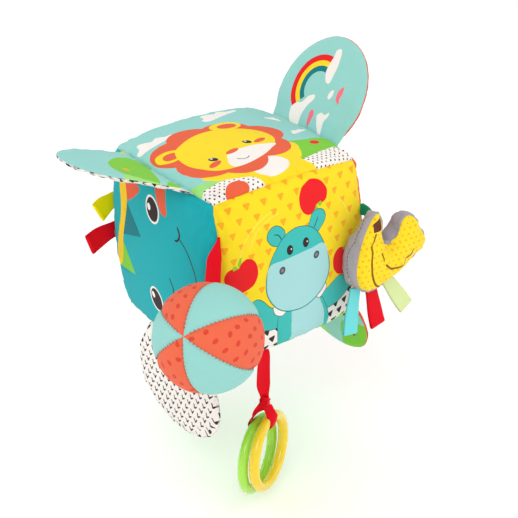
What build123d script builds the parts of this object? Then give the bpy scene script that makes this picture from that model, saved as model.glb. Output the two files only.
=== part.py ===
from build123d import *

import os
from dataclasses import dataclass
from math import cos, pi, radians, sin, sqrt

# Baby activity cube: a puffed fabric cube with four page flaps, a hanging ball, a strap of
# teething rings, a banana plush and ribbon tags. Millimetres, +Z up, origin in the middle of
# the cube's flat base, front face towards -Y.

# The cube
SIDE = 150.0                # between neighbouring seam corners
HALF = SIDE / 2
DOME = 12.0                 # how far the middle of a puffed face stands out
COVER = 2.0                 # fabric with its backing
SEAM_GAP = 0.2              # between one sewn piece and the next
FACE_RADIUS = (2 * HALF**2 + DOME**2) / (2 * DOME)
FACE_CENTRE = HALF + DOME - FACE_RADIUS   # centre of a face's sphere, from the cube's middle
REACH = SIDE                # longer than anything it cuts
ON_BASE = (Align.CENTER, Align.CENTER, Align.MIN)

# The squeaker behind the front face
SQUEAKER_RADIUS = 20.0
SQUEAKER_HEIGHT = 16.0
SQUEAKER_WALL = 1.2
SQUEAKER_AIR = 1.0          # room between the squeaker and its pocket
REED_ROOM = 0.05            # between the reed and its seat in the bulb
REED_RADIUS = 4.0
REED_BORE = 2.0
REED_LENGTH = 6.0

# The page flaps
FLAP_FABRIC = 1.75
FILM = 0.4
FLAP_GAP = 0.05
FLAP_ROOT_GAP = 2.5         # from the hinge line to the first fabric
FILM_INSET = 6.0
HINGE_LIFT = 2.2            # hinge line's distance from the seam, along each axis
OUTLINE_STEPS = 6

# The ball
BALL_RADIUS = 44.0
BALL_CENTRE = Vector(-112, -114, 60)
BALL_POLE = Vector(-0.771, -0.383, 0.507)
BALL_RIGHT = Vector(0.797, -0.603, -0.033)    # where the gores are counted from
GORES = 6
GORE_PHASE = 24.5
CAPSULE_RADIUS = 16.0
CAPSULE_WALL = 1.2
BEAD_RADIUS = 3.0
BEAD_SPREAD = 5.0
BEADS = 4
BALL_RIBBON_HEIGHT = 123.0

# Ribbons and tags
RIBBON = 1.2                # thickness
TAG = 1.6                   # a tag is a ribbon folded double
RIBBON_WIDTH = 13.0
TAG_WIDTH = 16.0
SIDE_TAG_WIDTH = 20.0
LIME_TAG_HEIGHT = 103.0     # of the middle of each side tag, above the base
LIME_TAG_LENGTH = 18.0
RED_TAG_HEIGHT = 74.0
RED_TAG_LENGTH = 29.0

# The strap and its two rings
STRAP_X = -35.0
STRAP_LENGTH = 47.0
KNOT = 9.0
RING_RADIUS = 33.25         # to the middle of the ring's tube
RING_TUBE = 4.75
RING_TURN = 29.2            # heading of the plane the rings hang in, from +X
YELLOW_CENTRE = Vector(-33, -82, -104.6)
RING_SPACING = 11.5         # green ring behind the yellow one
RING_DROP = 6.0             # and lower
LOOP_ROOM = 0.95            # between a ring's tube and the loop round it
LOOP_WIDTH = 11.0

# The banana plush
PLUSH_BACK = -88.5
PLUSH_THICK = 24.0
PLUSH_STEPS = 60
PLUSH_RIBBON_HEIGHT = 107.0
PLUSH_RIBBON_RUN = 4.0      # how far it reaches back along X from its seam
PLUSH_TAGS = {              # the root and tip of each, as (x, z)
    "plush_tag_aqua": ((53, 36), (46, -3)),
    "plush_tag_red": ((72, 35), (80, -6)),
    "plush_tag_lime": ((90, 39), (115, 1)),
}


FACES = {                   # the domed faces and the way each one looks
    "front_panel": Vector(0, -1, 0),
    "back_panel": Vector(0, 1, 0),
    "left_panel": Vector(-1, 0, 0),
    "right_panel": Vector(1, 0, 0),
    "top_panel": Vector(0, 0, 1),
}


def seam_reach(along):
    """How far out an edge of the cube lies from the middle, at a distance along the edge."""
    inside = 2 * FACE_RADIUS**2 - FACE_CENTRE**2 - 2 * along**2
    return (FACE_CENTRE + sqrt(inside)) / 2


def base_reach(along):
    """How far out a side face lies at its bottom edge, at a distance along the edge."""
    return FACE_CENTRE + sqrt(FACE_RADIUS**2 - HALF**2 - along**2)


def puffed_block(inset):
    """The cube's shape, drawn in by inset on every face."""
    block = Pos(0, 0, inset) * Box(2 * REACH, 2 * REACH, SIDE + DOME, align=ON_BASE)
    middle = Vector(0, 0, HALF)
    for way in FACES.values():
        block &= Pos(middle + way * FACE_CENTRE) * Sphere(FACE_RADIUS - inset)
    return block


def pyramid(way):
    """The sixth of space that one face of the cube looks out on."""
    tip = Plane(origin=Vector(0, 0, HALF) + way * SEAM_GAP, z_dir=way)
    near = tip.offset(1) * Rectangle(2, 2)
    far = tip.offset(REACH) * Rectangle(2 * REACH, 2 * REACH)
    return loft([near, far])


def above(height):
    """All the space the cube can fill above a height."""
    return Pos(0, 0, height) * Box(3 * REACH, 3 * REACH, 2 * REACH, align=ON_BASE)


def cube_panels():
    """The five domed panels and the flat one underneath."""
    skin = puffed_block(0) - puffed_block(COVER)
    panels = {name: skin & pyramid(way) & above(COVER + SEAM_GAP) for name, way in FACES.items()}
    panels["bottom_panel"] = puffed_block(0) - above(COVER)
    return panels


def squeaker_plane():
    """Where the squeaker's mouth sits: under the front panel, looking along -Y."""
    depth = FACE_RADIUS - sqrt(FACE_RADIUS**2 - SQUEAKER_RADIUS**2)
    front = -(HALF + DOME - COVER - SEAM_GAP - depth - SQUEAKER_AIR)
    return Plane(origin=(0, front, HALF), z_dir=(0, -1, 0))


def foam_core():
    """The block of foam, with an open pocket at the front for the squeaker."""
    mouth = squeaker_plane()
    deep = SQUEAKER_HEIGHT + SQUEAKER_AIR
    pocket = mouth.offset(-deep) * Cylinder(SQUEAKER_RADIUS + SQUEAKER_AIR, 2 * deep, align=ON_BASE)
    return puffed_block(COVER + SEAM_GAP) - pocket


def squeaker():
    """A round bellows cup with a reed plug in its inner wall."""
    inner_end = squeaker_plane().offset(-SQUEAKER_HEIGHT)
    cup = inner_end * Cylinder(SQUEAKER_RADIUS, SQUEAKER_HEIGHT, align=ON_BASE)
    air_radius = SQUEAKER_RADIUS - SQUEAKER_WALL
    air_height = SQUEAKER_HEIGHT - 2 * SQUEAKER_WALL
    air = inner_end.offset(SQUEAKER_WALL) * Cylinder(air_radius, air_height, align=ON_BASE)
    seat = inner_end * Cylinder(REED_RADIUS + REED_ROOM, SQUEAKER_WALL, align=ON_BASE)
    plug = inner_end * Cylinder(REED_RADIUS, REED_LENGTH, align=ON_BASE)
    bore = inner_end * Cylinder(REED_BORE, REED_LENGTH, align=ON_BASE)
    return {"squeaker_bulb": cup - air - seat, "squeaker_reed": plug - bore}


@dataclass
class Flap:
    """A page flap: a rounded petal sewn along one edge of the cube."""

    name: str
    hinge: Vector           # middle of its hinge line, which runs along Y
    rise: float             # direction it points in, degrees above outward
    side: int               # -1 on the left of the cube, 1 on the right
    root: float             # half width at the hinge
    widest: float           # half width at its widest
    widest_at: float        # distance of that from the hinge
    length: float
    lean: float             # sideways drift towards +Y, per millimetre of length
    faces: tuple            # node of the face on the plane's normal side, then the other


TOP_HINGE = seam_reach(0) + HINGE_LIFT
BASE_HINGE = base_reach(0) + HINGE_LIFT

FLAPS = [
    Flap(
        "rainbow_flap", Vector(TOP_HINGE, -2, HALF + TOP_HINGE), rise=58, side=1,
        root=46, widest=55, widest_at=30, length=86, lean=0, faces=("outer", "inner"),
    ),
    Flap(
        "hill_flap", Vector(-TOP_HINGE, 5, HALF + TOP_HINGE), rise=21.5, side=-1,
        root=45, widest=47, widest_at=22, length=82, lean=0.2, faces=("inner", "outer"),
    ),
    Flap(
        "tick_flap", Vector(-BASE_HINGE, -16, -HINGE_LIFT), rise=-90, side=-1,
        root=44, widest=65, widest_at=45, length=99, lean=0.16, faces=("outer", "inner"),
    ),
    Flap(
        "meadow_flap", Vector(BASE_HINGE, -16, -HINGE_LIFT), rise=-70, side=1,
        root=50, widest=58, widest_at=22, length=75, lean=0, faces=("inner", "outer"),
    ),
]


def half_width(flap, along, inset):
    """Half the petal's width at a distance from the hinge."""
    root = flap.root - inset
    widest = flap.widest - inset
    if along < flap.widest_at:
        return root + (widest - root) * sin(pi / 2 * along / flap.widest_at)
    share = (along - flap.widest_at) / (flap.length - inset - flap.widest_at)
    return widest * sqrt(max(0.0, 1 - share**2))


def petal(flap, inset):
    """The petal's outline as a face: hinge along X, length along Y."""
    start = FLAP_ROOT_GAP + inset
    rising = [start + (flap.widest_at - start) * k / OUTLINE_STEPS for k in range(OUTLINE_STEPS)]
    beyond = flap.length - inset - flap.widest_at
    falling = [flap.widest_at + beyond * sin(pi / 2 * k / OUTLINE_STEPS) for k in range(OUTLINE_STEPS + 1)]
    stations = rising + falling
    right = [(half_width(flap, s, inset) + flap.lean * s, s) for s in stations]
    left = [(-half_width(flap, s, inset) + flap.lean * s, s) for s in stations[:-1]]
    edge = Spline(right + left[::-1])
    return make_face(edge + Line(left[0], right[0]))


def flap_plane(flap):
    """The plane through a flap's middle, with the hinge along its X."""
    outward = Vector(flap.side * cos(radians(flap.rise)), 0, sin(radians(flap.rise)))
    hinge_way = Vector(0, 1, 0)
    return Plane(origin=flap.hinge, x_dir=hinge_way, z_dir=hinge_way.cross(outward))


def flap_parts(flap):
    """Two layers of fabric with a crinkling film between them."""
    middle = flap_plane(flap)
    fabric_start = FILM / 2 + FLAP_GAP
    near = middle.offset(fabric_start) * petal(flap, 0)
    far = middle.offset(-fabric_start - FLAP_FABRIC) * petal(flap, 0)
    film = middle.offset(-FILM / 2) * petal(flap, FILM_INSET)
    return {
        f"{flap.name}_{flap.faces[0]}": extrude(near, FLAP_FABRIC),
        f"{flap.name}_{flap.faces[1]}": extrude(far, FLAP_FABRIC),
        f"{flap.name}_film": extrude(film, FILM),
    }


def strip(start, way, width_way, length, width, thick):
    """A flat piece of ribbon from start, running along way."""
    plane = Plane(origin=start, x_dir=width_way, z_dir=way)
    return plane * Box(width, thick, length, align=ON_BASE)


def seam_corner(height, x_sign, y_sign, clear):
    """A point just outside one of the cube's upright seams."""
    reach = seam_reach(height - HALF) + clear
    return Vector(x_sign * reach, y_sign * reach, height)


def ball_parts():
    """Six gores over stuffing, with a rattle capsule in the middle."""
    level = BALL_RIGHT - BALL_POLE * BALL_POLE.dot(BALL_RIGHT)
    frame = Plane(origin=BALL_CENTRE, x_dir=level, z_dir=BALL_POLE)
    turn = 360 / GORES
    gap = SEAM_GAP / BALL_RADIUS * 180 / pi
    inner = BALL_RADIUS - COVER
    gore = Sphere(BALL_RADIUS, arc_size3=turn - gap, align=None) - Sphere(inner)
    placed = [frame * Rot(0, 0, GORE_PHASE + turn * k) * gore for k in range(GORES)]
    stuffing = Sphere(inner - SEAM_GAP) - Sphere(CAPSULE_RADIUS + SEAM_GAP)
    capsule = Sphere(CAPSULE_RADIUS) - Sphere(CAPSULE_RADIUS - CAPSULE_WALL)
    bead = Pos(BEAD_SPREAD, 0, 0) * Sphere(BEAD_RADIUS)
    beads = [Pos(BALL_CENTRE) * Rot(0, 0, 360 / BEADS * k) * bead for k in range(BEADS)]
    return {
        "ball_gores_aqua": Compound(children=placed[0::2]),
        "ball_gores_coral": Compound(children=placed[1::2]),
        "ball_stuffing": Pos(BALL_CENTRE) * stuffing,
        "rattle_capsule": Pos(BALL_CENTRE) * capsule,
        "rattle_beads": Compound(children=beads),
    }


def ball_ribbon():
    """The ribbon from the front left seam to the top of the ball."""
    root = seam_corner(BALL_RIBBON_HEIGHT, -1, -1, RIBBON)
    reach = BALL_CENTRE - root
    length = reach.length - BALL_RADIUS - 2 * SEAM_GAP
    return strip(root, reach.normalized(), Vector(1, -1, 0).normalized(), length, RIBBON_WIDTH, RIBBON)


def ring_axes():
    """The direction of the rings' tubes at the top, and the rings' own axis."""
    turn = radians(RING_TURN)
    return Vector(cos(turn), sin(turn), 0), Vector(-sin(turn), cos(turn), 0)


def green_centre():
    """The middle of the green ring."""
    return YELLOW_CENTRE + ring_axes()[1] * RING_SPACING - Vector(0, 0, RING_DROP)


def ring(centre):
    """One teething ring."""
    return Plane(origin=centre, z_dir=ring_axes()[1]) * Torus(RING_RADIUS, RING_TUBE)


def strap_root():
    """Where the strap leaves the front bottom seam, clear of the base's bowed edge."""
    furthest = base_reach(STRAP_X + RIBBON_WIDTH / 2)
    return Vector(STRAP_X, -furthest - RIBBON / 2 - SEAM_GAP, -RIBBON / 2)


def ring_strap():
    """The hanging strap, its knot and the loop that carries both rings."""
    tube_way, across = ring_axes()
    root = strap_root()
    band = strip(root, Vector(0, 0, -1), Vector(1, 0, 0), STRAP_LENGTH, RIBBON_WIDTH, RIBBON)
    knot_middle = root - Vector(0, 0, STRAP_LENGTH + KNOT / 3)
    knot = Pos(knot_middle) * Rot(0, 0, RING_TURN) * Box(KNOT, KNOT, KNOT)
    # The loop is drawn looking along the tubes: X across the rings, Y up.
    top = Vector(0, 0, RING_RADIUS)
    face = Plane(origin=YELLOW_CENTRE + top, x_dir=across, z_dir=across.cross(Vector(0, 0, 1)))
    held = RING_TUBE + LOOP_ROOM
    yellow = Circle(held).edges()
    green = (Pos(RING_SPACING, -RING_DROP) * Circle(held)).edges()
    knot_local = face.to_local_coords(knot_middle)
    tie = (Pos(knot_local.X, knot_local.Y - KNOT / 2) * Circle(RIBBON)).edges()
    room = make_hull(yellow + green + tie)
    loop = offset(room, amount=RIBBON, kind=Kind.ARC) - room
    loop = extrude(face * loop, LOOP_WIDTH / 2, both=True)
    return band + knot + loop


def plush_outline():
    """Two bananas joined at the foot, seen from the front: X across, Y up."""
    points = [
        (70, 109), (62, 104), (54, 92), (48, 76), (46, 60), (49, 46), (58, 38.5), (72, 37.5), (88, 41.5),
        (102, 47), (117, 55), (127, 61), (130, 69), (124, 83), (115, 98), (105, 103.5), (97.5, 99),
        (95.5, 88), (89, 80), (81, 79.5), (77, 87), (76.5, 102),
    ]
    return make_face(Spline(points, periodic=True))


def drawn_in(outline, inset):
    """An outline moved inwards, as one smooth curve again."""
    wire = offset(outline, amount=-inset).faces()[0].outer_wire()
    points = [wire @ (k / PLUSH_STEPS) for k in range(PLUSH_STEPS)]
    return make_face(Spline(points, periodic=True))


def plush_parts():
    """The printed front, the plain back with its gusset, and the stuffing."""
    back = Plane(origin=(0, PLUSH_BACK, 0), x_dir=(1, 0, 0), z_dir=(0, -1, 0))
    outline = plush_outline()
    inside = drawn_in(outline, COVER)
    filling = drawn_in(outline, COVER + SEAM_GAP)
    front_at = PLUSH_THICK - COVER
    gusset = extrude(back * outline, front_at - SEAM_GAP)
    hollow = extrude(back.offset(COVER) * inside, PLUSH_THICK)
    return {
        "plush_front": extrude(back.offset(front_at) * outline, COVER),
        "plush_gusset": gusset - hollow,
        "plush_stuffing": extrude(back.offset(COVER + SEAM_GAP) * filling, front_at - COVER - 2 * SEAM_GAP),
    }


def plush_ribbon():
    """The short ribbon from the front right seam to the back of the plush's tip."""
    root = seam_corner(PLUSH_RIBBON_HEIGHT, 1, -1, RIBBON)
    end = Vector(root.X - PLUSH_RIBBON_RUN, PLUSH_BACK + SEAM_GAP + RIBBON / 2, root.Z)
    reach = end - root
    return strip(root, reach.normalized(), Vector(0, 0, 1), reach.length, RIBBON_WIDTH, RIBBON)


def plush_tags():
    """Three tags fanned out under the plush."""
    middle = PLUSH_BACK - PLUSH_THICK / 2
    tags = {}
    for name, ((root_x, root_z), (tip_x, tip_z)) in PLUSH_TAGS.items():
        root = Vector(root_x, middle, root_z)
        reach = Vector(tip_x, middle, tip_z) - root
        way = reach.normalized()
        tags[name] = strip(root, way, way.cross(Vector(0, 1, 0)), reach.length, TAG_WIDTH, TAG)
    return tags


def side_tags():
    """Two tags in the back left seam."""
    outward = Vector(-1, 0, 0)
    upright = Vector(0, 0, 1)
    lime_root = seam_corner(LIME_TAG_HEIGHT, -1, 1, TAG)
    red_root = seam_corner(RED_TAG_HEIGHT, -1, 1, TAG)
    return {
        "side_tag_lime": strip(lime_root, outward, upright, LIME_TAG_LENGTH, SIDE_TAG_WIDTH, TAG),
        "side_tag_red": strip(red_root, outward, upright, RED_TAG_LENGTH, SIDE_TAG_WIDTH, TAG),
    }


def all_parts():
    """Every node's shape by name."""
    parts = {}
    parts.update(cube_panels())
    parts["foam_core"] = foam_core()
    parts.update(squeaker())
    for flap in FLAPS:
        parts.update(flap_parts(flap))
    parts.update(ball_parts())
    parts["ball_ribbon"] = ball_ribbon()
    parts["ring_strap"] = ring_strap()
    parts["yellow_ring"] = ring(YELLOW_CENTRE)
    parts["green_ring"] = ring(green_centre())
    parts.update(plush_parts())
    parts["plush_ribbon"] = plush_ribbon()
    parts.update(plush_tags())
    parts.update(side_tags())
    return parts


os.makedirs("parts", exist_ok=True)
for node, shape in all_parts().items():
    export_step(shape, f"parts/{node}.step")
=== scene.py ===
import math
from dataclasses import dataclass, field
from typing import Callable

import bmesh
import bpy
from mathutils import Matrix, Vector, noise
from mathutils.bvhtree import BVHTree
from mathutils.geometry import delaunay_2d_cdt
from mathutils.interpolate import poly_3d_calc
from mathutils.kdtree import KDTree


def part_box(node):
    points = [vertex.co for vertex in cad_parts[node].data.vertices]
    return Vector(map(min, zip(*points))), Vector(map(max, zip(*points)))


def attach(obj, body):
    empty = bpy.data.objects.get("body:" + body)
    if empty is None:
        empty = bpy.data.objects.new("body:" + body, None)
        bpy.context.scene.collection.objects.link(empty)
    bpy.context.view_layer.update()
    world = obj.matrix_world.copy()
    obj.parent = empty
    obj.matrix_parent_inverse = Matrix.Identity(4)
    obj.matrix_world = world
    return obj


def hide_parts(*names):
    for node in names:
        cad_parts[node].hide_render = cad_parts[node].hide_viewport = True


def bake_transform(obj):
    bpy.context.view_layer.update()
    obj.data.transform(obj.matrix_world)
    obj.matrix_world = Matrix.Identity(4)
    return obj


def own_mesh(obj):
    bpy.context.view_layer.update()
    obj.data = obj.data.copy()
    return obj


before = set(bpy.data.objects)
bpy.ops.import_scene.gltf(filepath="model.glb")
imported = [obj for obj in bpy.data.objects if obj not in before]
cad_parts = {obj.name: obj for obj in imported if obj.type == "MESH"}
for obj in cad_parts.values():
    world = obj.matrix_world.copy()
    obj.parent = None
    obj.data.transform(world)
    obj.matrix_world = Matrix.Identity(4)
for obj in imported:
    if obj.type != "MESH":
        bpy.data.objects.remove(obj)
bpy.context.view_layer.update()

# A padded fabric activity cube. Every size below is in millimetres, in the frame's axes; meshes
# are turned into metres where they are made. Each sewn piece is a flat cut of printed fabric that
# is placed in space, swollen by a cloth simulation between its seams, and drawn in at its seams.

MM = 0.001
X = Vector((1, 0, 0))
Y = Vector((0, 1, 0))
Z = Vector((0, 0, 1))

# The cube
HALF = 75.0
DOME = 12.0
FACE_RADIUS = (2 * HALF**2 + DOME**2) / (2 * DOME)
FACE_CENTRE = HALF + DOME - FACE_RADIUS
CUBE_MIDDLE = Vector((0, 0, HALF))

# How finely fabric is cut
GRID_STEP = 3.2             # inside a printed piece
PROXY_STEP = 6.0            # inside the coarse piece that the cloth simulation moves
SEAM_RINGS = (0.8, 1.7, 3.0, 4.6)   # how far inside a seam the extra rows of points lie
OUTLINE_STEP = 1.4          # along a printed shape

COLOURS = {
    "yellow": "F9DA22",
    "orange": "F7AE22",
    "teal": "3FBDB6",
    "muzzle": "A6DADA",
    "ink": "24494C",
    "charcoal": "33292C",
    "white": "F6EFE8",
    "red": "EC1C22",
    "green": "7ECB3A",
    "pale_green": "9FE07C",
    "leaf": "4FB34A",
    "aqua": "96D3CB",
    "deep_teal": "12A9B0",
    "dark_teal": "0A7A83",
    "coral": "E9613F",
    "coral_ball": "EC6A4A",
    "coral_dash": "DC4632",
    "pink": "FA7586",
    "brown": "6B3428",
    "print_brown": "8E5A10",
    "lime": "B4DC35",
    "pale_yellow": "FAE250",
    "gold": "F6CB16",
    "grey": "A9A2A9",
    "grey_dark": "8C858C",
    "iron": "4E5560",
    "sprout": "8FCB2F",
    "minky": "FBD92A",
    "minky_dot": "F6B51E",
}


def linear(hexadecimal):
    """An sRGB colour like F9DA22 as linear red, green, blue and alpha."""
    channels = [int(hexadecimal[k:k + 2], 16) / 255 for k in (0, 2, 4)]
    return tuple(c / 12.92 if c < 0.04045 else ((c + 0.055) / 1.055) ** 2.4 for c in channels) + (1.0,)


# ---------------------------------------------------------------- materials


class Nodes:
    """A short way to write a material's node tree."""

    def __init__(self, name):
        self.material = bpy.data.materials.new(name)
        self.material.use_nodes = True
        self.tree = self.material.node_tree
        self.shader = self.tree.nodes["Principled BSDF"]
        self.output = self.tree.nodes["Material Output"]

    def link(self, source, target):
        self.tree.links.new(source, target)

    def set(self, **values):
        for key, value in values.items():
            self.shader.inputs[key.replace("_", " ")].default_value = value

    def node(self, kind, **settings):
        made = self.tree.nodes.new("ShaderNode" + kind)
        for key, value in settings.items():
            setattr(made, key, value)
        return made

    def math(self, operation, first, second=0.5):
        made = self.node("Math", operation=operation)
        for socket, value in zip(made.inputs, (first, second)):
            if isinstance(value, (int, float)):
                socket.default_value = value
            else:
                self.link(value, socket)
        return made.outputs[0]

    def cloth_axes(self):
        """The flat fabric's own two directions, in millimetres."""
        uv = self.node("UVMap", uv_map="cloth")
        parts = self.node("SeparateXYZ")
        self.link(uv.outputs["UV"], parts.inputs[0])
        return parts.outputs["X"], parts.outputs["Y"]

    def ripple(self, axis, pitch):
        """A wave between 0 and 1 along an axis, one crest per pitch."""
        return self.math("ABSOLUTE", self.math("SINE", self.math("MULTIPLY", axis, math.pi / pitch)))

    def noise(self, scale, detail=3.0, roughness=0.6, stretch=None):
        """Noise over the object, with a size of about 1 / scale metres."""
        place = self.node("TexCoord").outputs["Object"]
        if stretch:
            mapping = self.node("Mapping")
            mapping.inputs["Scale"].default_value = stretch
            self.link(place, mapping.inputs["Vector"])
            place = mapping.outputs["Vector"]
        made = self.node("TexNoise")
        made.inputs["Scale"].default_value = scale
        made.inputs["Detail"].default_value = detail
        made.inputs["Roughness"].default_value = roughness
        self.link(place, made.inputs["Vector"])
        return made.outputs["Fac"]

    def cells(self, feature, scale):
        """Distances in a pattern of cells over the object."""
        made = self.node("TexVoronoi", feature=feature)
        made.inputs["Scale"].default_value = scale
        self.link(self.node("TexCoord").outputs["Object"], made.inputs["Vector"])
        return made.outputs["Distance"]

    def span(self, value, low, high):
        """A value from 0..1 moved to low..high."""
        made = self.node("MapRange")
        self.link(value, made.inputs["Value"])
        made.inputs["To Min"].default_value = low
        made.inputs["To Max"].default_value = high
        return made.outputs["Result"]

    def dye_and_shade(self, colour, *factors):
        """Colour the surface, made darker or lighter by the sum of the factors, which is near 1. The
        factors hold random tone and, in several materials, painted shade that follows the relief.
        """
        total = factors[0]
        for factor in factors[1:]:
            total = self.math("ADD", total, factor)
        made = self.node("VectorMath", operation="SCALE")
        self.link(colour, made.inputs[0])
        self.link(total, made.inputs["Scale"])
        self.feed("Base Color", made.outputs["Vector"])

    def feed(self, socket, source):
        """Drive one of the shader's own sockets."""
        self.link(source, self.shader.inputs[socket])

    def flat(self, colour):
        made = self.node("RGB")
        made.outputs[0].default_value = linear(colour)
        return made.outputs[0]

    def printed(self):
        return self.node("Attribute", attribute_name="print").outputs["Color"]

    def bump(self, height, distance, strength=1.0, below=None):
        made = self.node("Bump")
        made.inputs["Strength"].default_value = strength
        made.inputs["Distance"].default_value = distance
        self.link(height, made.inputs["Height"])
        if below:
            self.link(below, made.inputs["Normal"])
        return made.outputs["Normal"]


def woven(name, pitch=0.55, depth=0.12):
    """Plain-woven printed fabric: over-and-under yarns, soft creases, mottled dye and fluff."""
    n = Nodes(name)
    across, along = n.cloth_axes()
    warp = n.ripple(across, pitch)
    weft = n.ripple(along, pitch)
    over = n.ripple(n.math("ADD", across, along), 2 * pitch)
    under = n.math("SUBTRACT", 1.0, over)
    weave = n.math("ADD", n.math("MULTIPLY", warp, over), n.math("MULTIPLY", weft, under))
    mottle = n.noise(28.0, detail=4.0)
    fluff = n.noise(900.0, detail=2.0)
    # The print colour is darker between the yarns and lighter on their crowns, following the weave's own
    # relief: painted shade and painted highlight. Mottle and fluff are random tone.
    n.dye_and_shade(n.printed(), n.span(mottle, -0.05, 0.05), n.span(weave, 0.93, 1.04), n.span(fluff, -0.03, 0.03))
    soft = n.bump(n.noise(70.0, detail=5.0), 0.6 * MM, 0.5)
    n.feed("Normal", n.bump(weave, depth * MM, 0.8, below=soft))
    n.feed("Roughness", n.span(mottle, 0.76, 0.92))
    n.set(Sheen_Weight=0.06, Sheen_Roughness=0.5, Specular_IOR_Level=0.16)
    return n.material


def satin(name, colour, sheer=0.0):
    """Ribbon: fine ribs across its width and a soft gleam."""
    n = Nodes(name)
    across, along = n.cloth_axes()
    ribs = n.ripple(along, 0.45)
    threads = n.ripple(across, 0.3)
    weave = n.math("ADD", n.math("MULTIPLY", ribs, 0.7), n.math("MULTIPLY", threads, 0.3))
    mottle = n.noise(60.0, detail=4.0)
    # Darker in the gaps between the ribs and threads and lighter on them, following the same relief as
    # the bump: painted shade. Mottle is random tone.
    n.dye_and_shade(n.flat(colour), n.span(mottle, -0.06, 0.06), n.span(weave, 0.9, 1.06))
    soft = n.bump(n.noise(120.0, detail=3.0), 0.5 * MM, 0.35)
    n.feed("Normal", n.bump(weave, 0.07 * MM, 0.7, below=soft))
    n.feed("Roughness", n.span(mottle, 0.36, 0.52))
    n.set(Specular_IOR_Level=0.08, Anisotropic=0.5)
    n.set(Subsurface_Weight=0.1 + sheer, Subsurface_Scale=3 * MM)
    return n.material


def minky(name):
    """Short plush pile: fine fur that catches light at its edge, brushed in soft patches."""
    n = Nodes(name)
    pile = n.noise(1500.0, detail=3.0, roughness=0.75)
    tufts = n.noise(260.0, detail=4.0, stretch=(1.0, 1.0, 0.45))
    brushed = n.noise(45.0, detail=3.0)
    # Darker between the fibres and between the tufts, following the same heights as the bumps: painted
    # shade in the pile. The brushed patches are random tone.
    n.dye_and_shade(n.printed(), n.span(pile, -0.10, 0.10), n.span(tufts, 0.94, 1.06), n.span(brushed, -0.05, 0.05))
    soft = n.bump(tufts, 0.5 * MM, 0.8)
    n.feed("Normal", n.bump(pile, 0.25 * MM, 0.9, below=soft))
    n.feed("Roughness", n.span(brushed, 0.82, 0.96))
    n.set(Sheen_Weight=0.3, Sheen_Roughness=0.35, Specular_IOR_Level=0.10)
    n.set(Subsurface_Weight=0.12, Subsurface_Scale=2 * MM)
    return n.material


def jersey(name):
    """Heathered knit: columns of small vees with light and dark yarns mixed."""
    n = Nodes(name)
    across, along = n.cloth_axes()
    column = n.ripple(across, 0.9)
    vee = n.ripple(n.math("ADD", along, n.math("MULTIPLY", column, 0.7)), 0.8)
    knit = n.math("MULTIPLY", column, n.span(vee, 0.4, 1.0))
    heather = n.noise(700.0, detail=4.0, roughness=0.8)
    patches = n.noise(50.0)
    # Darker between the knit's loops, following the same relief as the bump: painted shade. Heather and
    # patches are the yarns' own mixed tones.
    n.dye_and_shade(n.printed(), n.span(heather, -0.16, 0.16), n.span(knit, 0.88, 1.06),
          n.span(patches, -0.05, 0.05))
    soft = n.bump(n.noise(130.0, detail=4.0), 0.6 * MM, 0.6)
    n.feed("Normal", n.bump(knit, 0.16 * MM, 0.9, below=soft))
    n.feed("Roughness", n.span(heather, 0.84, 0.96))
    n.set(Sheen_Weight=0.2, Sheen_Roughness=0.5, Specular_IOR_Level=0.12)
    return n.material


def gel_plastic(name, colour, deep):
    """Smooth, slightly milky teether plastic with faint flow marks and fine scuffs."""
    n = Nodes(name)
    flow = n.noise(45.0, detail=2.0)
    mix = n.node("Mix", data_type="RGBA")
    mix.inputs["A"].default_value = linear(deep)
    mix.inputs["B"].default_value = linear(colour)
    n.link(n.span(flow, 0.5, 1.15), mix.inputs["Factor"])
    n.feed("Base Color", mix.outputs["Result"])
    scuffs = n.noise(1200.0, detail=4.0, roughness=0.8)
    n.feed("Roughness", n.span(scuffs, 0.10, 0.20))
    n.feed("Normal", n.bump(n.noise(120.0, detail=2.0), 0.04 * MM, 0.3))
    n.set(Subsurface_Weight=0.35, Subsurface_Scale=5 * MM, Subsurface_Radius=(1.0, 0.9, 0.2))
    n.set(Transmission_Weight=0.12, IOR=1.45, Coat_Weight=0.35, Coat_Roughness=0.12)
    return n.material


def moulded_plastic(name, colour, clear=0.0):
    """Injection-moulded plastic with a fine spark-eroded texture."""
    n = Nodes(name)
    grain = n.noise(1800.0, detail=4.0, roughness=0.7)
    n.dye_and_shade(n.flat(colour), n.span(n.noise(80.0), 0.94, 1.05))
    n.feed("Roughness", n.span(grain, 0.3, 0.48))
    n.feed("Normal", n.bump(grain, 0.04 * MM, 0.5))
    n.set(Transmission_Weight=clear, Subsurface_Weight=0.1, Subsurface_Scale=2 * MM)
    return n.material


def open_foam(name, colour):
    """Cut foam: small open cells and a slightly yellowed skin."""
    n = Nodes(name)
    walls = n.cells("DISTANCE_TO_EDGE", 650.0)
    aged = n.noise(18.0, detail=4.0)
    # Darker towards each cell's middle, the open pore: painted shade in the pores. The aged noise is a
    # random yellowed tone.
    n.dye_and_shade(n.flat(colour), n.span(aged, -0.06, 0.06), n.span(n.math("MULTIPLY", walls, 3.0), 1.02, 0.82))
    n.feed("Normal", n.bump(walls, 0.5 * MM, 0.9))
    n.set(Roughness=0.95, Specular_IOR_Level=0.1, Subsurface_Weight=0.1, Subsurface_Scale=2 * MM)
    return n.material


def fibrefill(name, colour):
    """Tangled white polyester fibre."""
    n = Nodes(name)
    strands = n.noise(420.0, detail=8.0, roughness=0.85, stretch=(1.0, 0.25, 1.0))
    clumps = n.noise(60.0, detail=4.0)
    # Darker between the strands, following the same heights as the bump: painted shade. Clumps are random
    # tone.
    n.dye_and_shade(n.flat(colour), n.span(strands, -0.12, 0.08), n.span(clumps, 0.92, 1.04))
    n.feed("Normal", n.bump(strands, 1.2 * MM, 0.9))
    n.set(Roughness=0.97, Sheen_Weight=0.8, Specular_IOR_Level=0.05)
    return n.material


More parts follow.
